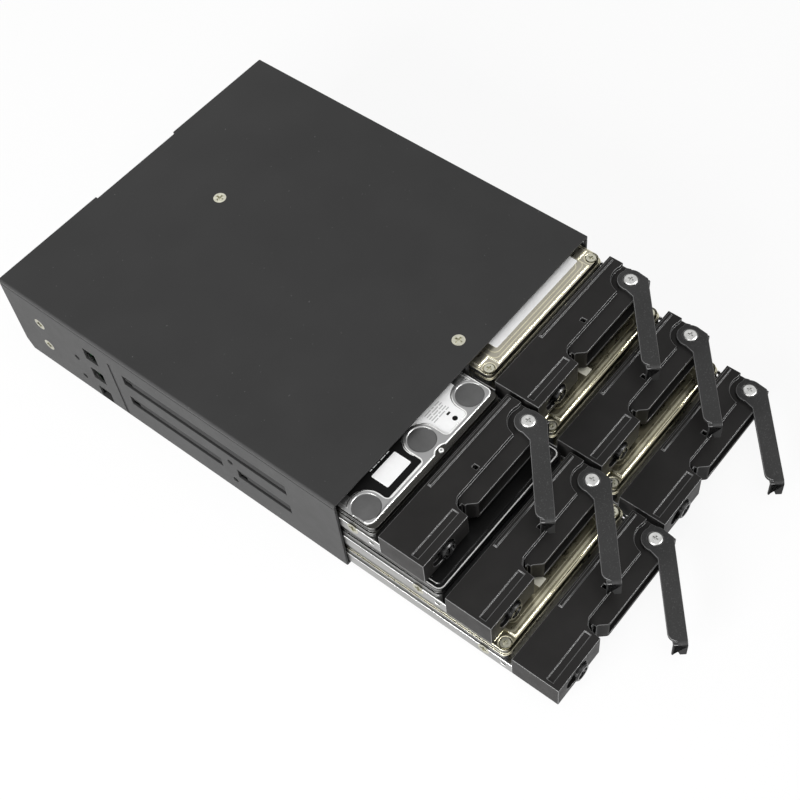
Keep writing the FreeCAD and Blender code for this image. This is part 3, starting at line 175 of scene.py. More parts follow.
class Finish:
    """One procedural material, built up node by node around its Principled shader."""

    def __init__(self, name, colour, roughness, metallic=0.0, specular=0.5):
        self.material = bpy.data.materials.new(name)
        self.material.use_nodes = True
        self.tree = self.material.node_tree
        self.shader = self.tree.nodes["Principled BSDF"]
        self.shader.inputs["Base Color"].default_value = (*colour, 1)
        self.shader.inputs["Roughness"].default_value = roughness
        self.shader.inputs["Metallic"].default_value = metallic
        self.shader.inputs["Specular IOR Level"].default_value = specular
        self.colour = colour
        self.roughness = roughness
        self.place = self.add("ShaderNodeTexCoord").outputs["Object"]
        self.relief = None

    def add(self, kind, **inputs):
        """A new node, with its inputs given by their names in lower case."""
        node = self.tree.nodes.new(kind)
        for name, value in inputs.items():
            self.feed(node.inputs[name.replace("_", " ").title()], value)
        return node

    def feed(self, socket, value):
        """Links one of the material's sockets, or sets it."""
        feed(self.tree, socket, value)

    def stretched(self, scale):
        """Object coordinates multiplied along x, y and z, for grain that runs one way."""
        node = self.tree.nodes.new("ShaderNodeVectorMath")
        node.operation = "MULTIPLY"
        self.feed(node.inputs[0], self.place)
        node.inputs[1].default_value = scale
        return node.outputs[0]

    def noise(self, size_mm, detail=3.0, stretch=None):
        """Noise whose blobs are about this large."""
        place = self.stretched(stretch) if stretch else self.place
        node = self.add("ShaderNodeTexNoise", vector=place, scale=1.0 / (size_mm * MM),
                        detail=detail, roughness=0.55)
        return node.outputs["Fac"]

    def cells(self, size_mm):
        """Distance to the middle of the nearest of many cells, which are about this large."""
        node = self.add("ShaderNodeTexVoronoi", vector=self.place, scale=1.0 / (size_mm * MM))
        return node.outputs["Distance"]

    def ramp(self, value, low, high, at_low, at_high):
        """Maps low..high to at_low..at_high, and holds the ends."""
        node = self.add("ShaderNodeMapRange", value=value)
        for name, number in (("From Min", low), ("From Max", high), ("To Min", at_low),
                             ("To Max", at_high)):
            node.inputs[name].default_value = number
        return node.outputs["Result"]

    def tint(self, mask, colour):
        """Mixes another colour over what is there, by the mask."""
        node = self.tree.nodes.new("ShaderNodeMix")
        node.data_type = "RGBA"
        factor, under, over, result = (node.inputs[0], node.inputs[6], node.inputs[7],
                                       node.outputs[2])
        base = self.shader.inputs["Base Color"]
        if base.is_linked:
            self.feed(under, base.links[0].from_socket)
        else:
            under.default_value = base.default_value
        self.feed(factor, mask)
        over.default_value = (*colour, 1)
        self.tree.links.new(result, base)

    def shade(self, mask, darkest, lightest):
        """Multiplies the base colour by a factor that follows the mask."""
        node = self.tree.nodes.new("ShaderNodeVectorMath")
        node.operation = "SCALE"
        node.inputs[0].default_value = self.colour
        self.feed(node.inputs["Scale"], self.ramp(mask, *NOISE_RANGE, darkest, lightest))
        self.tree.links.new(node.outputs[0], self.shader.inputs["Base Color"])

    def rough(self, mask, spread):
        """Lets the roughness wander by plus or minus spread."""
        value = self.ramp(mask, *NOISE_RANGE, self.roughness - spread, self.roughness + spread)
        self.feed(self.shader.inputs["Roughness"], value)

    def bump(self, height, depth_mm):
        """Relief of this depth, added to what is there."""
        node = self.add("ShaderNodeBump", height=height, strength=1.0, distance=depth_mm * MM)
        if self.relief is not None:
            self.feed(node.inputs["Normal"], self.relief)
        self.relief = node.outputs["Normal"]
        self.feed(self.shader.inputs["Normal"], self.relief)


def grey(level):
    """A neutral colour."""
    return (level, level, level)


def painted(name, colour, roughness, specular):
    """Powder-coated sheet: fine orange peel, faint cloudiness and a few pale specks."""
    finish = Finish(name, colour, roughness, specular=specular)
    finish.shade(finish.noise(24), darkest=0.94, lightest=1.06)
    finish.rough(finish.noise(6), spread=0.04)
    specks = finish.ramp(finish.noise(1.1, detail=1.0), low=0.79, high=0.83, at_low=0.0,
                         at_high=0.7)
    finish.tint(specks, grey(0.16))
    finish.bump(finish.noise(0.45, detail=2.0), depth_mm=0.012)
    return finish.material


def moulded(name, colour, roughness, specular, grain_mm, depth_mm):
    """Moulded plastic with an eroded grain, and a roughness that wanders a little."""
    finish = Finish(name, colour, roughness, specular=specular)
    finish.shade(finish.noise(14), darkest=0.88, lightest=1.12)
    finish.rough(finish.noise(5), spread=0.05)
    finish.bump(finish.cells(grain_mm), depth_mm)
    finish.bump(finish.noise(grain_mm * 0.6, detail=2.0), depth_mm * 0.6)
    return finish.material


def speckled(name, colour, roughness, specular, speck):
    """Grained plastic with fine pale specks scattered at random."""
    finish = Finish(name, colour, roughness, specular=specular)
    finish.shade(finish.noise(14), darkest=0.92, lightest=1.08)
    specks = finish.ramp(finish.noise(0.5, detail=2.0), low=0.60, high=0.68, at_low=0.0,
                         at_high=0.8)
    finish.tint(specks, speck)
    finish.rough(finish.noise(5), spread=0.05)
    finish.bump(finish.cells(0.5), depth_mm=0.02)
    return finish.material


def plated(name, colour, roughness, stretch, spread=0.05):
    """Plated or rolled metal with a faint grain along one direction."""
    finish = Finish(name, colour, roughness, metallic=1.0)
    finish.shade(finish.noise(9), 1 - spread, 1 + spread)
    finish.rough(finish.noise(1.2, stretch=stretch), spread=0.06)
    finish.bump(finish.noise(0.35, stretch=stretch), depth_mm=0.003)
    return finish.material


def turned(name, colour, roughness):
    """Small turned or headed metal pieces."""
    finish = Finish(name, colour, roughness, metallic=1.0)
    finish.shade(finish.noise(1.5), darkest=0.80, lightest=1.10)
    finish.rough(finish.noise(0.8), spread=0.06)
    finish.bump(finish.noise(0.3, detail=2.0), depth_mm=0.006)
    return finish.material


def solder_mask(name, colour, track_colour):
    """Circuit board: glossy mask over faint copper tracks."""
    finish = Finish(name, colour, roughness=0.3)
    tracks = finish.add("ShaderNodeTexBrick", vector=finish.place, scale=260.0)
    copper = finish.ramp(tracks.outputs["Fac"], low=0.4, high=0.6, at_low=0.0, at_high=0.4)
    finish.tint(copper, track_colour)
    finish.rough(finish.noise(4), spread=0.05)
    finish.bump(tracks.outputs["Fac"], depth_mm=0.02)
    return finish.material


def paper(name, colour, specular=0.3):
    """Printed label stock: nearly flat, with a faint fibre."""
    finish = Finish(name, colour, roughness=0.5, specular=specular)
    finish.shade(finish.noise(3, detail=5.0), darkest=0.97, lightest=1.02)
    finish.bump(finish.noise(0.12), depth_mm=0.004)
    return finish.material


# Directions of a metal's grain: the noise is stretched along the axis with the small number.
ALONG_X = (0.3, 1, 1)
ALONG_Y = (1, 0.3, 1)
FINE_ALONG_Y = (1, 0.12, 1)
FINE_ALONG_Z = (1, 1, 0.12)
NO_GRAIN = (1, 1, 1)

CAGE_PAINT = painted("cage_paint", grey(0.039), roughness=0.50, specular=0.08)
LID_DARK = painted("lid_dark", grey(0.0045), roughness=0.34, specular=0.12)

BEZEL_PLASTIC = moulded("bezel_plastic", (0.0185, 0.0178, 0.0174), roughness=0.42,
                        specular=0.09, grain_mm=0.35, depth_mm=0.012)
# Painted highlight: a light grey on the bezels' rounded edges, where light would gleam.
BEZEL_PAINTED_HIGHLIGHT = moulded("bezel_painted_highlight", grey(0.090), roughness=0.34, specular=0.5, grain_mm=0.35,
                     depth_mm=0.006)
LEVER_PLASTIC = speckled("lever_plastic", grey(0.043), roughness=0.45, specular=0.06,
                         speck=grey(0.08))
# Painted highlight: a light grey on the levers' rounded edges, where light would gleam.
LEVER_PAINTED_HIGHLIGHT = moulded("lever_painted_highlight", grey(0.10), roughness=0.36, specular=0.4, grain_mm=0.45,
                     depth_mm=0.006)
# Painted shade: a darker grey on the levers' sides and hook, where less light falls.
LEVER_PAINTED_SHADE = moulded("lever_painted_shade", grey(0.014), roughness=0.5, specular=0.1, grain_mm=0.5,
                     depth_mm=0.01)
RUNNER_PLASTIC = moulded("runner_plastic", grey(0.030), roughness=0.6, specular=0.02,
                         grain_mm=0.5, depth_mm=0.01)
FAN_PLASTIC = moulded("fan_plastic", grey(0.018), roughness=0.38, specular=0.3, grain_mm=0.5,
                      depth_mm=0.008)
CONNECTOR_PLASTIC = moulded("connector_plastic", grey(0.012), roughness=0.4, specular=0.3,
                            grain_mm=0.4, depth_mm=0.006)
# Painted highlight: a light grey line on the dark lid's rim, where its rounded edge would gleam.
LIP_PAINTED_HIGHLIGHT = moulded("lip_painted_highlight", (0.62, 0.62, 0.61), roughness=0.3, specular=0.5, grain_mm=0.4,
                   depth_mm=0.002)

PAN_STEEL = plated("pan_steel", (0.36, 0.36, 0.355), 0.34, FINE_ALONG_Y)
# Painted highlight: bright metal on the pans' rounded edges, where they would reflect light.
PAN_PAINTED_HIGHLIGHT = plated("pan_painted_highlight", (0.75, 0.75, 0.74), 0.28, FINE_ALONG_Y)
BRACKET_STEEL = plated("bracket_steel", grey(0.60), 0.36, FINE_ALONG_Z)
LID_SILVER = plated("lid_silver", grey(0.31), 0.34, ALONG_X)
LID_BEIGE = plated("lid_beige", (0.36, 0.34, 0.28), 0.30, ALONG_X)
LID_BRONZE = plated("lid_bronze", (0.26, 0.24, 0.165), 0.30, ALONG_X)
LID_DISC = plated("lid_disc", grey(0.105), 0.42, NO_GRAIN, spread=0.12)
# Painted highlights: bright metal on the drives' rounded edges and on strips along their lids' flat
# tops.
SILVER_PAINTED_HIGHLIGHT = plated("silver_painted_highlight", (0.80, 0.80, 0.79), 0.30, ALONG_X)
BRONZE_PAINTED_HIGHLIGHT = plated("bronze_painted_highlight", (0.60, 0.57, 0.43), 0.30, ALONG_X)
# Painted shade: a dark colour on the disc drive's case in front of its lid, where it lies in
# shadow.
CASE_PAINTED_SHADE = plated("case_painted_shade", (0.040, 0.039, 0.036), 0.42, NO_GRAIN)
CASE_SIDE = plated("case_side", (0.24, 0.24, 0.235), 0.38, ALONG_Y)

SCREW_STEEL = turned("screw_steel", (0.52, 0.51, 0.42), 0.34)
PIVOT_STEEL = turned("pivot_steel", (0.52, 0.52, 0.51), 0.42)
LOCK_METAL = turned("lock_metal", grey(0.05), 0.26)

BOARD_MASK = solder_mask("board_mask", (0.012, 0.045, 0.02), (0.05, 0.13, 0.05))

LABEL_WHITE = paper("label_white", grey(0.92))
LABEL_CREAM = paper("label_cream", (0.80, 0.78, 0.66))
LABEL_BLACK = paper("label_black", grey(0.004), specular=0.08)
LABEL_PALE_PRINT = paper("label_pale_print", grey(0.50))

# The drives' looks: the lid's material and its edges' material (mostly a painted highlight), and
# which drives share a shape
LIDS = {DISC_DRIVE: (LID_SILVER, SILVER_PAINTED_HIGHLIGHT), LABEL_DRIVE: (LID_BEIGE, BRONZE_PAINTED_HIGHLIGHT),
        PLAIN_DRIVE: (LID_DARK, LID_DARK)}
OTHER_LIDS = (LID_BRONZE, BRONZE_PAINTED_HIGHLIGHT)
LID_KINDS = {DISC_DRIVE: "disc_lid", PLAIN_DRIVE: "plain_lid"}


def paint(node, material):
    """Gives a CAD node one material."""
    slots = NODES[node].data.materials
    slots.clear()
    slots.append(material)


# ---- Crisp copies of CAD nodes, with their edges broken ----

def linked(name, data):
    """A new object in the scene, for a mesh, lamp or camera."""
    piece = bpy.data.objects.new(name, data)
    bpy.context.scene.collection.objects.link(piece)
    return piece


def is_sharp(edge):
    """True where two faces meet at a marked angle."""
    return len(edge.link_faces) == 2 and edge.calc_face_angle(0) > SHARP_ANGLE


def turn_between(edge, other, vertex):
    """How far an edge's line turns where it goes on into another."""
    arriving = vertex.co - edge.other_vert(vertex).co
    leaving = other.other_vert(vertex).co - vertex.co
    return arriving.angle(leaving, math.pi)


def end_has_room(edge, vertex, width):
    """True where the edge runs on round a wide enough curve, or meets only longer edges."""
    for other in vertex.link_edges:
        if other == edge or other.calc_length() > width:
            continue
        turn = turn_between(edge, other, vertex)
        if not is_sharp(other) or turn > SHARP_ANGLE or other.calc_length() < width * turn:
            return False
    return True


def roomy_edges(shape, width):
    """The sharp edges that have room for a rounding this wide, on both sides and at both ends."""
    chosen = []
    for edge in shape.edges:
        if not is_sharp(edge):
            continue
        length = edge.calc_length()
        wide = all(face.calc_area() > 2 * width * length for face in edge.link_faces)
        if wide and all(end_has_room(edge, vertex, width) for vertex in edge.verts):
            chosen.append(edge)
    return chosen


def round_edges(shape, width, segments):
    """Rounds the edges that have room; the roundings get the edges' material, mostly a painted
    highlight.
    """
    rounding = bmesh.ops.bevel(shape, geom=roomy_edges(shape, width), offset=width,
                               segments=segments, profile=0.5, affect="EDGES",
                               clamp_overlap=False)
    for face in rounding["faces"]:
        face.material_index = EDGES


def border_tops(shape, width):
    """Paints a highlight: gives a strip along the outlines of the flat tops the edges' material."""
    tops = [face for face in shape.faces
            if face.normal.z > LEVEL_NORMAL and face.material_index == FACES]
    tops = bmesh.ops.triangulate(shape, faces=tops)["faces"]
    for face in bmesh.ops.inset_region(shape, faces=tops, thickness=width)["faces"]:
        face.material_index = EDGES


def crisp_mesh(node, rounding, segments, border):
    """The node's mesh with rounded edges, and with a painted highlight border on its flat tops
    where set.
    """
    mesh = NODES[node].data.copy()
    shape = bmesh.new()
    shape.from_mesh(mesh)
    bmesh.ops.remove_doubles(shape, verts=shape.verts, dist=WELD_GAP * MM)
    bmesh.ops.dissolve_limit(shape, angle_limit=FLAT_ANGLE, verts=shape.verts,
                             edges=shape.edges)
    round_edges(shape, rounding * MM, segments)
    if border:
        border_tops(shape, border * MM)
    mesh.materials.clear()
    shape.to_mesh(mesh)
    shape.free()
    return mesh


def finish_with(mesh, materials):
    """Sets a mesh's materials and keeps which face has which."""
    for i, material in enumerate(materials):
        if i < len(mesh.materials):
            mesh.materials[i] = material
        else:
            mesh.materials.append(material)


def shade_flat_faces(piece):
    """Shades the roundings smooth and keeps the flat faces flat."""
    piece.data.shade_smooth()
    piece.data.set_sharp_from_angle(angle=CREASE_ANGLE)
    flatten = piece.modifiers.new("flat_faces", "WEIGHTED_NORMAL")
    flatten.mode = "FACE_AREA"
    flatten.weight = 100
    flatten.keep_sharp = True
    apply_modifiers(piece)


def apply_modifiers(piece):
    """Replaces the piece's mesh by what its modifiers make of it."""
    graph = bpy.context.evaluated_depsgraph_get()
    result = bpy.data.meshes.new_from_object(piece.evaluated_get(graph))
    old = piece.data
    piece.modifiers.clear()
    piece.data = result
    bpy.data.meshes.remove(old)


CRISP = {}                       # the finished mesh of each kind, and the corner it was made at


def dressed(name, node, body, materials, rounding, segments=2, kind=None, border=0):
    """A copy of a CAD node with rounded edges, which stands for it.

    The materials are the faces' and the edges'. Nodes of one kind have the same shape, so the
    first one's mesh serves for all.
    """
    # the edges' material is mostly a lighter colour, a painted highlight
    corner = Vector(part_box(node)[0])
    if kind in CRISP:
        made, made_at = CRISP[kind]
        piece = linked(name, made.copy())
        piece.data.transform(Matrix.Translation(corner - made_at))
        finish_with(piece.data, materials)
    else:
        piece = linked(name, crisp_mesh(node, rounding, segments, border))
        finish_with(piece.data, materials)
        shade_flat_faces(piece)
        if kind:
            CRISP[kind] = (piece.data.copy(), corner)
    piece.data.name = name
    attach(piece, body)
    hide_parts(node)
    return piece


def dress_cage():
    """The cage's two sheet shells, and all that is fixed inside them."""
    steel = (CAGE_PAINT, CAGE_PAINT)
    dressed("cover_shell", "top_cover", "cage", steel, COVER_ROUNDING)
    dressed("chassis_shell", "chassis", "cage", steel, CHASSIS_ROUNDING)
    for node in ("centre_divider", "rear_panel"):
        paint(node, CAGE_PAINT)
    paint("runner_strips", RUNNER_PLASTIC)
    paint("backplane_board", BOARD_MASK)
    paint("board_brackets", BRACKET_STEEL)
    for node in ("board_screws", "cover_screws", "side_screws", "fan_screws"):
        paint(node, SCREW_STEEL)
    for node in ("drive_sockets", "data_ports", "power_ports"):
        paint(node, CONNECTOR_PLASTIC)
    for node in ("fan_frames", "fan_rotor_left", "fan_rotor_right"):
        paint(node, FAN_PLASTIC)


def tray_carrier(tray):
    """The body that slides with a tray."""
    return "carrier_" + tray


def dress_tray(tray):
    """A tray with its lever, pan, drive, screws and lock."""
    body = tray_carrier(tray)
    dressed("bezel_" + tray, "tray_" + tray, body, (BEZEL_PLASTIC, BEZEL_PAINTED_HIGHLIGHT),
            BEZEL_ROUNDING, kind="tray")
    arm = dressed("arm_" + tray, "lever_" + tray, "lever_arm_" + tray,
                  (LEVER_PLASTIC, LEVER_PAINTED_HIGHLIGHT), LEVER_ROUNDING, kind="lever")
    mark_lever_sides(arm, tray)
    disk = dressed("disk_" + tray, "drive_" + tray, body,
                   LIDS.get(tray, OTHER_LIDS), DRIVE_ROUNDING,
                   kind=LID_KINDS.get(tray, "stepped_lid"), border=LID_BORDER)
    mark(disk, CASE_SIDE, is_flank)
    if tray == DISC_DRIVE:
        mark_case(disk)
        mark_discs(disk)
    dressed("sled_" + tray, "pan_" + tray, body, (PAN_STEEL, PAN_PAINTED_HIGHLIGHT),
            PAN_ROUNDING, segments=1, kind="pan")
    paint("drive_screws_" + tray, SCREW_STEEL)
    paint("pivot_screw_" + tray, PIVOT_STEEL)
    paint("lock_" + tray, LOCK_METAL)


# ---- Faces with a colour of their own: real finishes, and painted shade ----

def mark(piece, material, chosen):
    """Gives the faces that the test chooses one more material."""
    piece.data.materials.append(material)
    number = len(piece.data.materials) - 1
    for face in piece.data.polygons:
        if chosen(face):
            face.material_index = number


def is_flank(face):
    """True on the long sides of a drive."""
    return abs(face.normal.x) > FLANK_NORMAL


def mark_lever_sides(arm, tray):
    """Paints shade: gives the sides and the hook of a lever a darker colour than its top."""
    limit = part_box("lever_" + tray)[1][2] - LEVER_TOP_T * MM
    mark(arm, LEVER_PAINTED_SHADE, lambda face: face.center.z < limit and face.normal.z < TOP_NORMAL)


def mark_case(disk):
    """Paints shade on the case around the disc drive's lid: its faces below the lid, other than its
    flanks, go dark.
    """
    limit = lid_top(DISC_DRIVE) - CASE_BELOW * MM
    mark(disk, CASE_PAINTED_SHADE, lambda face: face.center.z < limit and not is_flank(face))


def mark_discs(disk):
    """Gives the sunk floors of the round bosses their own finish, and no painted highlight border.
    """
    spots = [lid_point(DISC_DRIVE, u, v).xy for u, v in DISC_SPOTS]
    reach = (DISC_R + DISC_BORDER) * MM
    limit = lid_top(DISC_DRIVE) - DISC_SUNK * MM

    def in_a_disc(face):
        return min((face.center.xy - spot).length for spot in spots) <= reach

    mark(disk, LID_DISC, lambda face: (face.center.z < limit and face.normal.z > FLOOR_NORMAL
                                       and in_a_disc(face)))
    for face in disk.data.polygons:
        if face.material_index == EDGES and in_a_disc(face):
            face.material_index = FACES


# ---- Labels and beads on the drives' lids ----

def lid_top(tray):
    """Height of the top of a tray's drive."""
    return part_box("drive_" + tray)[1][2]


def lid_point(tray, u, v, above=0.0):
    """A place on a tray's drive: u and v on its lid, and its height above the lid's top."""
    low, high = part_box("drive_" + tray)
    return Vector(((low[0] + high[0]) / 2 + u * MM, low[1] + v * MM, high[2] + above * MM))


def on_lid(tray, outline):
    """The outline's places on a tray's drive, as x and y."""
    return [lid_point(tray, u, v).xy for u, v in outline]


def stick(piece, tray):
    """Lets a piece slide with the tray that its drive is in."""
    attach(piece, tray_carrier(tray))
    return piece


def piece_from(name, shape, material):
    """A new object made of the shape, with its faces turned outward."""
    bmesh.ops.recalc_face_normals(shape, faces=shape.faces)
    mesh = bpy.data.meshes.new(name)
    shape.to_mesh(mesh)
    shape.free()
    mesh.materials.append(material)
    return linked(name, mesh)


def rounded(left, right, front, rear, radius, steps=5):
    """Outline of a rectangle with rounded corners."""
    corners = ((right - radius, rear - radius), (left + radius, rear - radius),
               (left + radius, front + radius), (right - radius, front + radius))
    points = []
    for quarter, (u, v) in enumerate(corners):
        for i in range(steps + 1):
            angle = math.radians(90 * quarter + 90 * i / steps)
            points.append((u + radius * math.cos(angle), v + radius * math.sin(angle)))
    return points


def arc(centre, radius, start, end, steps=14):
    """Points along an arc, with its angles in degrees."""
    u, v = centre
    return [(u + radius * math.cos(math.radians(start + (end - start) * i / steps)),
             v + radius * math.sin(math.radians(start + (end - start) * i / steps)))
            for i in range(steps + 1)]


def circle(centre, radius, points=24):
    """Points around a whole circle."""
    step = 360 / points
    return arc(centre, radius, 0, 360 - step, points - 1)


def between_discs(left, right, front):
    """Outline of a label that fills the well between two of the lid's bosses."""
    left_dip = math.degrees(math.asin((left[1] - front) / DISC_CLEAR_R))
    right_dip = math.degrees(math.asin((right[1] - front) / DISC_CLEAR_R))
    return (arc(left, DISC_CLEAR_R, 90, -left_dip) +
            arc(right, DISC_CLEAR_R, 180 + right_dip, 90) +
            [(right[0], LABEL_REAR), (left[0], LABEL_REAR)])


def lid_label(name, tray, outline, above, material, thick=LABEL_T):
    """A flat piece with this outline on a lid, its underside this far above the lid's top."""
    shape = bmesh.new()
    z = lid_point(tray, 0, 0, above).z
    face = shape.faces.new([shape.verts.new((x, y, z)) for x, y in on_lid(tray, outline)])
    raised = bmesh.ops.extrude_face_region(shape, geom=[face])["geom"]
    upper = [item for item in raised if isinstance(item, bmesh.types.BMVert)]
    bmesh.ops.translate(shape, verts=upper, vec=(0, 0, thick * MM))
    return stick(piece_from(name, shape, material), tray)


def print_rows(name, tray, spot, rows, pitch, above, material):
    """Rows of short plain bars that stand for small print, from this spot to the right and rear."""
    for row, lengths in enumerate(rows):
        u, v = spot[0], spot[1] + row * pitch
        for i, length in enumerate(lengths):
            bar = rounded(u, u + length, v, v + pitch * BAR_HEIGHT, pitch * BAR_CORNER,
                          steps=2)
            lid_label("%s_%d_%d" % (name, row, i), tray, bar, above, material, PRINT_T)
            u += length + BAR_GAP


def label_disc_drive():
    """Two labels in the disc drive's well, with a blank field, a dot, bars and rows of marks."""
    left, middle, right = DISC_SPOTS
    floor = -WELL_DEPTH
    on_label = floor + LABEL_T
    lid_label("black_label", DISC_DRIVE, between_discs(left, middle, WELL_FRONT), floor,
              LABEL_BLACK)
    lid_label("blank_field", DISC_DRIVE, rounded(*BLANK_FIELD, FIELD_CORNER_R), on_label,
              LABEL_WHITE, PRINT_T)
    print_rows("field_print", DISC_DRIVE, FIELD_PRINT_SPOT, FIELD_PRINT_ROWS, FIELD_PRINT_PITCH,
               on_label, LABEL_WHITE)
    lid_label("white_label", DISC_DRIVE, between_discs(middle, right, WELL_FRONT), floor,
              LABEL_WHITE)
    print_rows("small_print", DISC_DRIVE, SMALL_PRINT_SPOT, SMALL_PRINT_ROWS, SMALL_PRINT_PITCH,
               on_label, LABEL_PALE_PRINT)
    lid_label("round_mark", DISC_DRIVE, circle(ROUND_MARK, ROUND_MARK_R), on_label,
              LABEL_BLACK, PRINT_T)
    lid_label("bar_mark", DISC_DRIVE, rounded(*BAR_MARK, MARK_CORNER_R), on_label,
              LABEL_BLACK, PRINT_T)


def label_other_drives():
    """Blank paper labels that lie flat on three more lids."""
    for name, tray, place, corner, material in (
            ("large_label", LABEL_DRIVE, LARGE_LABEL, LABEL_CORNER_R, LABEL_WHITE),
            ("tab_label_left", "left_low", LEFT_TAB, TAB_CORNER_R, LABEL_CREAM),
            ("tab_label_right", "right_middle", RIGHT_TAB, TAB_CORNER_R, LABEL_CREAM)):
        lid_label(name, tray, rounded(*place, corner), 0, material)


def lid_bead(name, tray, line, material, above=0.0):
    """A raised bead on a lid: a closed rounded line, its underside this far above the lid's top."""
    half, front, width = line
    outer = on_lid(tray, rounded(-half, half, front, BEAD_REAR, BEAD_CORNER_R,
                                 BEAD_CORNER_STEPS))
    inner = on_lid(tray, rounded(-half + width, half - width, front + width, BEAD_REAR - width,
                                 BEAD_CORNER_R - width, BEAD_CORNER_STEPS))
    low = lid_top(tray) + above * MM
    high = low + BEAD_T * MM
    shape = bmesh.new()
    rings = [[shape.verts.new((x, y, z)) for x, y in outline]
             for outline, z in ((outer, low), (outer, high), (inner, high), (inner, low))]
    for ring, following in zip(rings, rings[1:] + rings[:1]):
        for i in range(len(outer)):
            j = (i + 1) % len(outer)
            shape.faces.new((ring[i], ring[j], following[j], following[i]))
    return stick(piece_from(name, shape, material), tray)


def stamp_lids():
    """A painted highlight line on the dark lid's rim, and raised beads on the beige and bronze
    lids, coloured as a painted highlight.
    """
    lid_bead("lip_" + PLAIN_DRIVE, PLAIN_DRIVE, LIP_HIGHLIGHT_LINE, LIP_PAINTED_HIGHLIGHT, -RIM_DROP)
    for tray, beads in STAMPED_LIDS.items():
        for i, line in enumerate(beads):
            lid_bead("bead_%s_%d" % (tray, i), tray, line, BRONZE_PAINTED_HIGHLIGHT)


# ---- Floor, lights and camera, in metres ----

FLOOR_COLOUR = grey(0.93)
FLOOR_HALF = 6.0                 # half the length of its sides
FLOOR_DROP = 0.0004              # it lies this far below the cage
FLOOR_GLOW = 0.90                # share of plain white in what the camera sees of the floor
DIFFUSE_SKY = 0.35               # strength of the world for diffuse light; it is seen as 1

AIM = Vector((0, -0.06, 0.02))   # the lamps' target
LAMPS = (("key", (-0.94, -0.05, 0.25), 1.2, (0.7, 0.7), 2.0),
         ("fill", (-0.1, -0.3, 0.95), 1.2, (0.9, 0.9), 0.25))
RIM_LAMPS = (("front_rim", (0.4, -0.80, 0.45), 1.0, (0.5, 0.10), 1.2),
             ("back_rim", (0.4, 0.80, 0.45), 1.0, (0.5, 0.10), 0.1))

CAMERA_PLACE = Vector((-0.2182, -0.2700, 0.4314))
CAMERA_ALONG = Vector((0.3997, 0.3563, -0.8446))
CAMERA_RIGHT = Vector((0.6132, -0.7888, -0.0425))
CAMERA_LENS = 61.8               # in millimetres, and so is the sensor's width
CAMERA_SENSOR = 36
CAMERA_SHIFT = (-0.075, 0.075)


def seen_directly(tree):
    """1 for rays from the camera, in reflections and through glass, and 0 for diffuse light."""
    path = tree.nodes.new("ShaderNodeLightPath")
    total = path.outputs["Is Camera Ray"]
    for name in ("Is Glossy Ray", "Is Transmission Ray"):
        total = computed(tree, "MAXIMUM", total, path.outputs[name])
    return total


def computed(tree, operation, first, second):
    """The result of one Math node."""
    node = tree.nodes.new("ShaderNodeMath")
    node.operation = operation
    feed(tree, node.inputs[0], first)
    feed(tree, node.inputs[1], second)
    return node.outputs[0]


def mix_to_surface(tree, share, first, second, output):
    """Sends a mix of two shaders to the output's surface: the share is the second one's."""
    mix = tree.nodes.new("ShaderNodeMixShader")
    tree.links.new(share, mix.inputs[0])
    tree.links.new(first.outputs[0], mix.inputs[1])
    tree.links.new(second.outputs[0], mix.inputs[2])
    tree.links.new(mix.outputs[0], tree.nodes[output].inputs["Surface"])


def floor_white():
    """White floor that still takes a light shadow."""
    material = bpy.data.materials.new("floor_white")
    material.use_nodes = True
    tree = material.node_tree
    shader = tree.nodes["Principled BSDF"]
    shader.inputs["Base Color"].default_value = (*FLOOR_COLOUR, 1)
    shader.inputs["Roughness"].default_value = 0.9
    shader.inputs["Specular IOR Level"].default_value = 0.0
    glow = tree.nodes.new("ShaderNodeEmission")
    share = computed(tree, "MULTIPLY", seen_directly(tree), FLOOR_GLOW)
    mix_to_surface(tree, share, shader, glow, "Material Output")
    return material


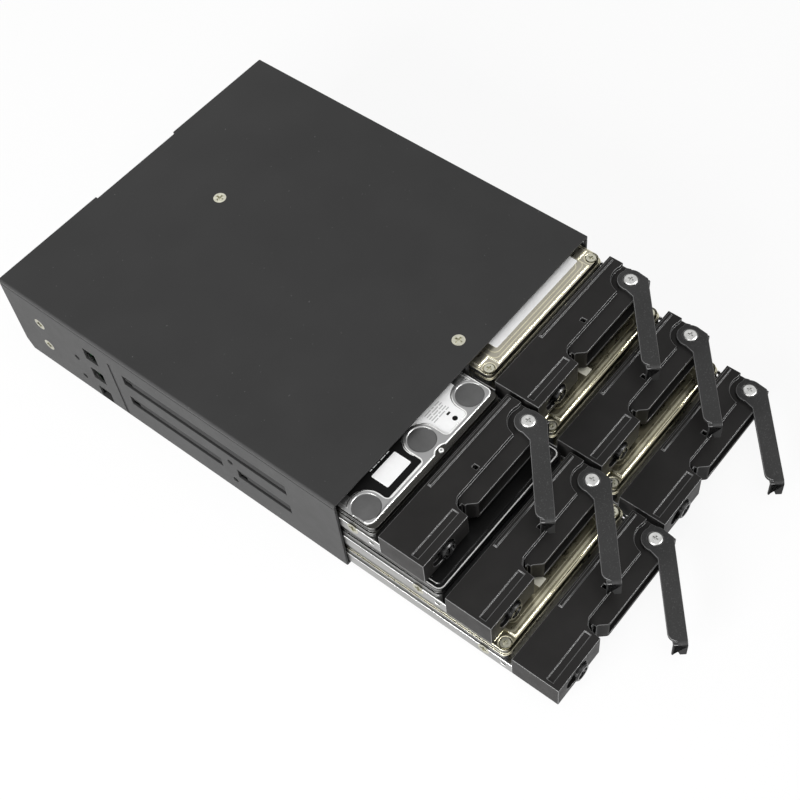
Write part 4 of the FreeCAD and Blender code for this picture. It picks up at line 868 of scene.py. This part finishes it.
def stage():
    """A large plain floor just under the cage."""
    mesh = bpy.data.meshes.new("floor")
    half = FLOOR_HALF
    mesh.from_pydata([(-half, -half, 0), (half, -half, 0), (half, half, 0), (-half, half, 0)], [],
                     [(0, 1, 2, 3)])
    mesh.materials.append(floor_white())
    floor = linked("floor", mesh)
    floor.location.z = CAD_BOX[0][2] - FLOOR_DROP


def world():
    """A plain surround: white where it is seen or mirrored, and dimmer as diffuse light."""
    scene_world = bpy.data.worlds.new("studio")
    bpy.context.scene.world = scene_world
    scene_world.use_nodes = True
    tree = scene_world.node_tree
    dim = tree.nodes["Background"]
    dim.inputs["Color"].default_value = (1, 1, 1, 1)
    dim.inputs["Strength"].default_value = DIFFUSE_SKY
    white = tree.nodes.new("ShaderNodeBackground")
    white.inputs["Color"].default_value = (1, 1, 1, 1)
    mix_to_surface(tree, seen_directly(tree), dim, white, "World Output")


def lamp(name, direction, distance, size, level):
    """Area lamp, this far from the object, that gives a white face turned to it this level.

    It shines by the cosine law, so its power is the level times (pi times the distance) squared.
    """
    data = bpy.data.lights.new(name, "AREA")
    data.shape = "RECTANGLE"
    data.size, data.size_y = size
    data.energy = level * math.pi ** 2 * distance ** 2
    along = Vector(direction).normalized()
    light = linked(name, data)
    light.location = AIM + along * distance
    light.rotation_euler = along.to_track_quat("Z", "Y").to_euler()
    return light


def lamps():
    """A key light on the left wall, a weak one from above, and rims that only make gleams."""
    for numbers in LAMPS:
        lamp(*numbers)
    for numbers in RIM_LAMPS:
        lamp(*numbers).visible_diffuse = False


def camera():
    """The photograph's view, from above the cage's front left corner."""
    data = bpy.data.cameras.new("camera")
    data.sensor_width = CAMERA_SENSOR
    data.lens = CAMERA_LENS
    data.shift_x, data.shift_y = CAMERA_SHIFT
    data.clip_start = 0.01
    along = CAMERA_ALONG.normalized()
    right = (CAMERA_RIGHT - along * CAMERA_RIGHT.dot(along)).normalized()
    up = right.cross(along)
    eye = linked("camera", data)
    eye.matrix_world = Matrix.Translation(CAMERA_PLACE) @ Matrix(
        (right, up, -along)).transposed().to_4x4()
    bpy.context.scene.camera = eye


dress_cage()
for tray_name in TRAYS:
    dress_tray(tray_name)
label_disc_drive()
label_other_drives()
stamp_lids()
stage()
world()
lamps()
camera()
bpy.context.scene.view_settings.view_transform = "Standard"
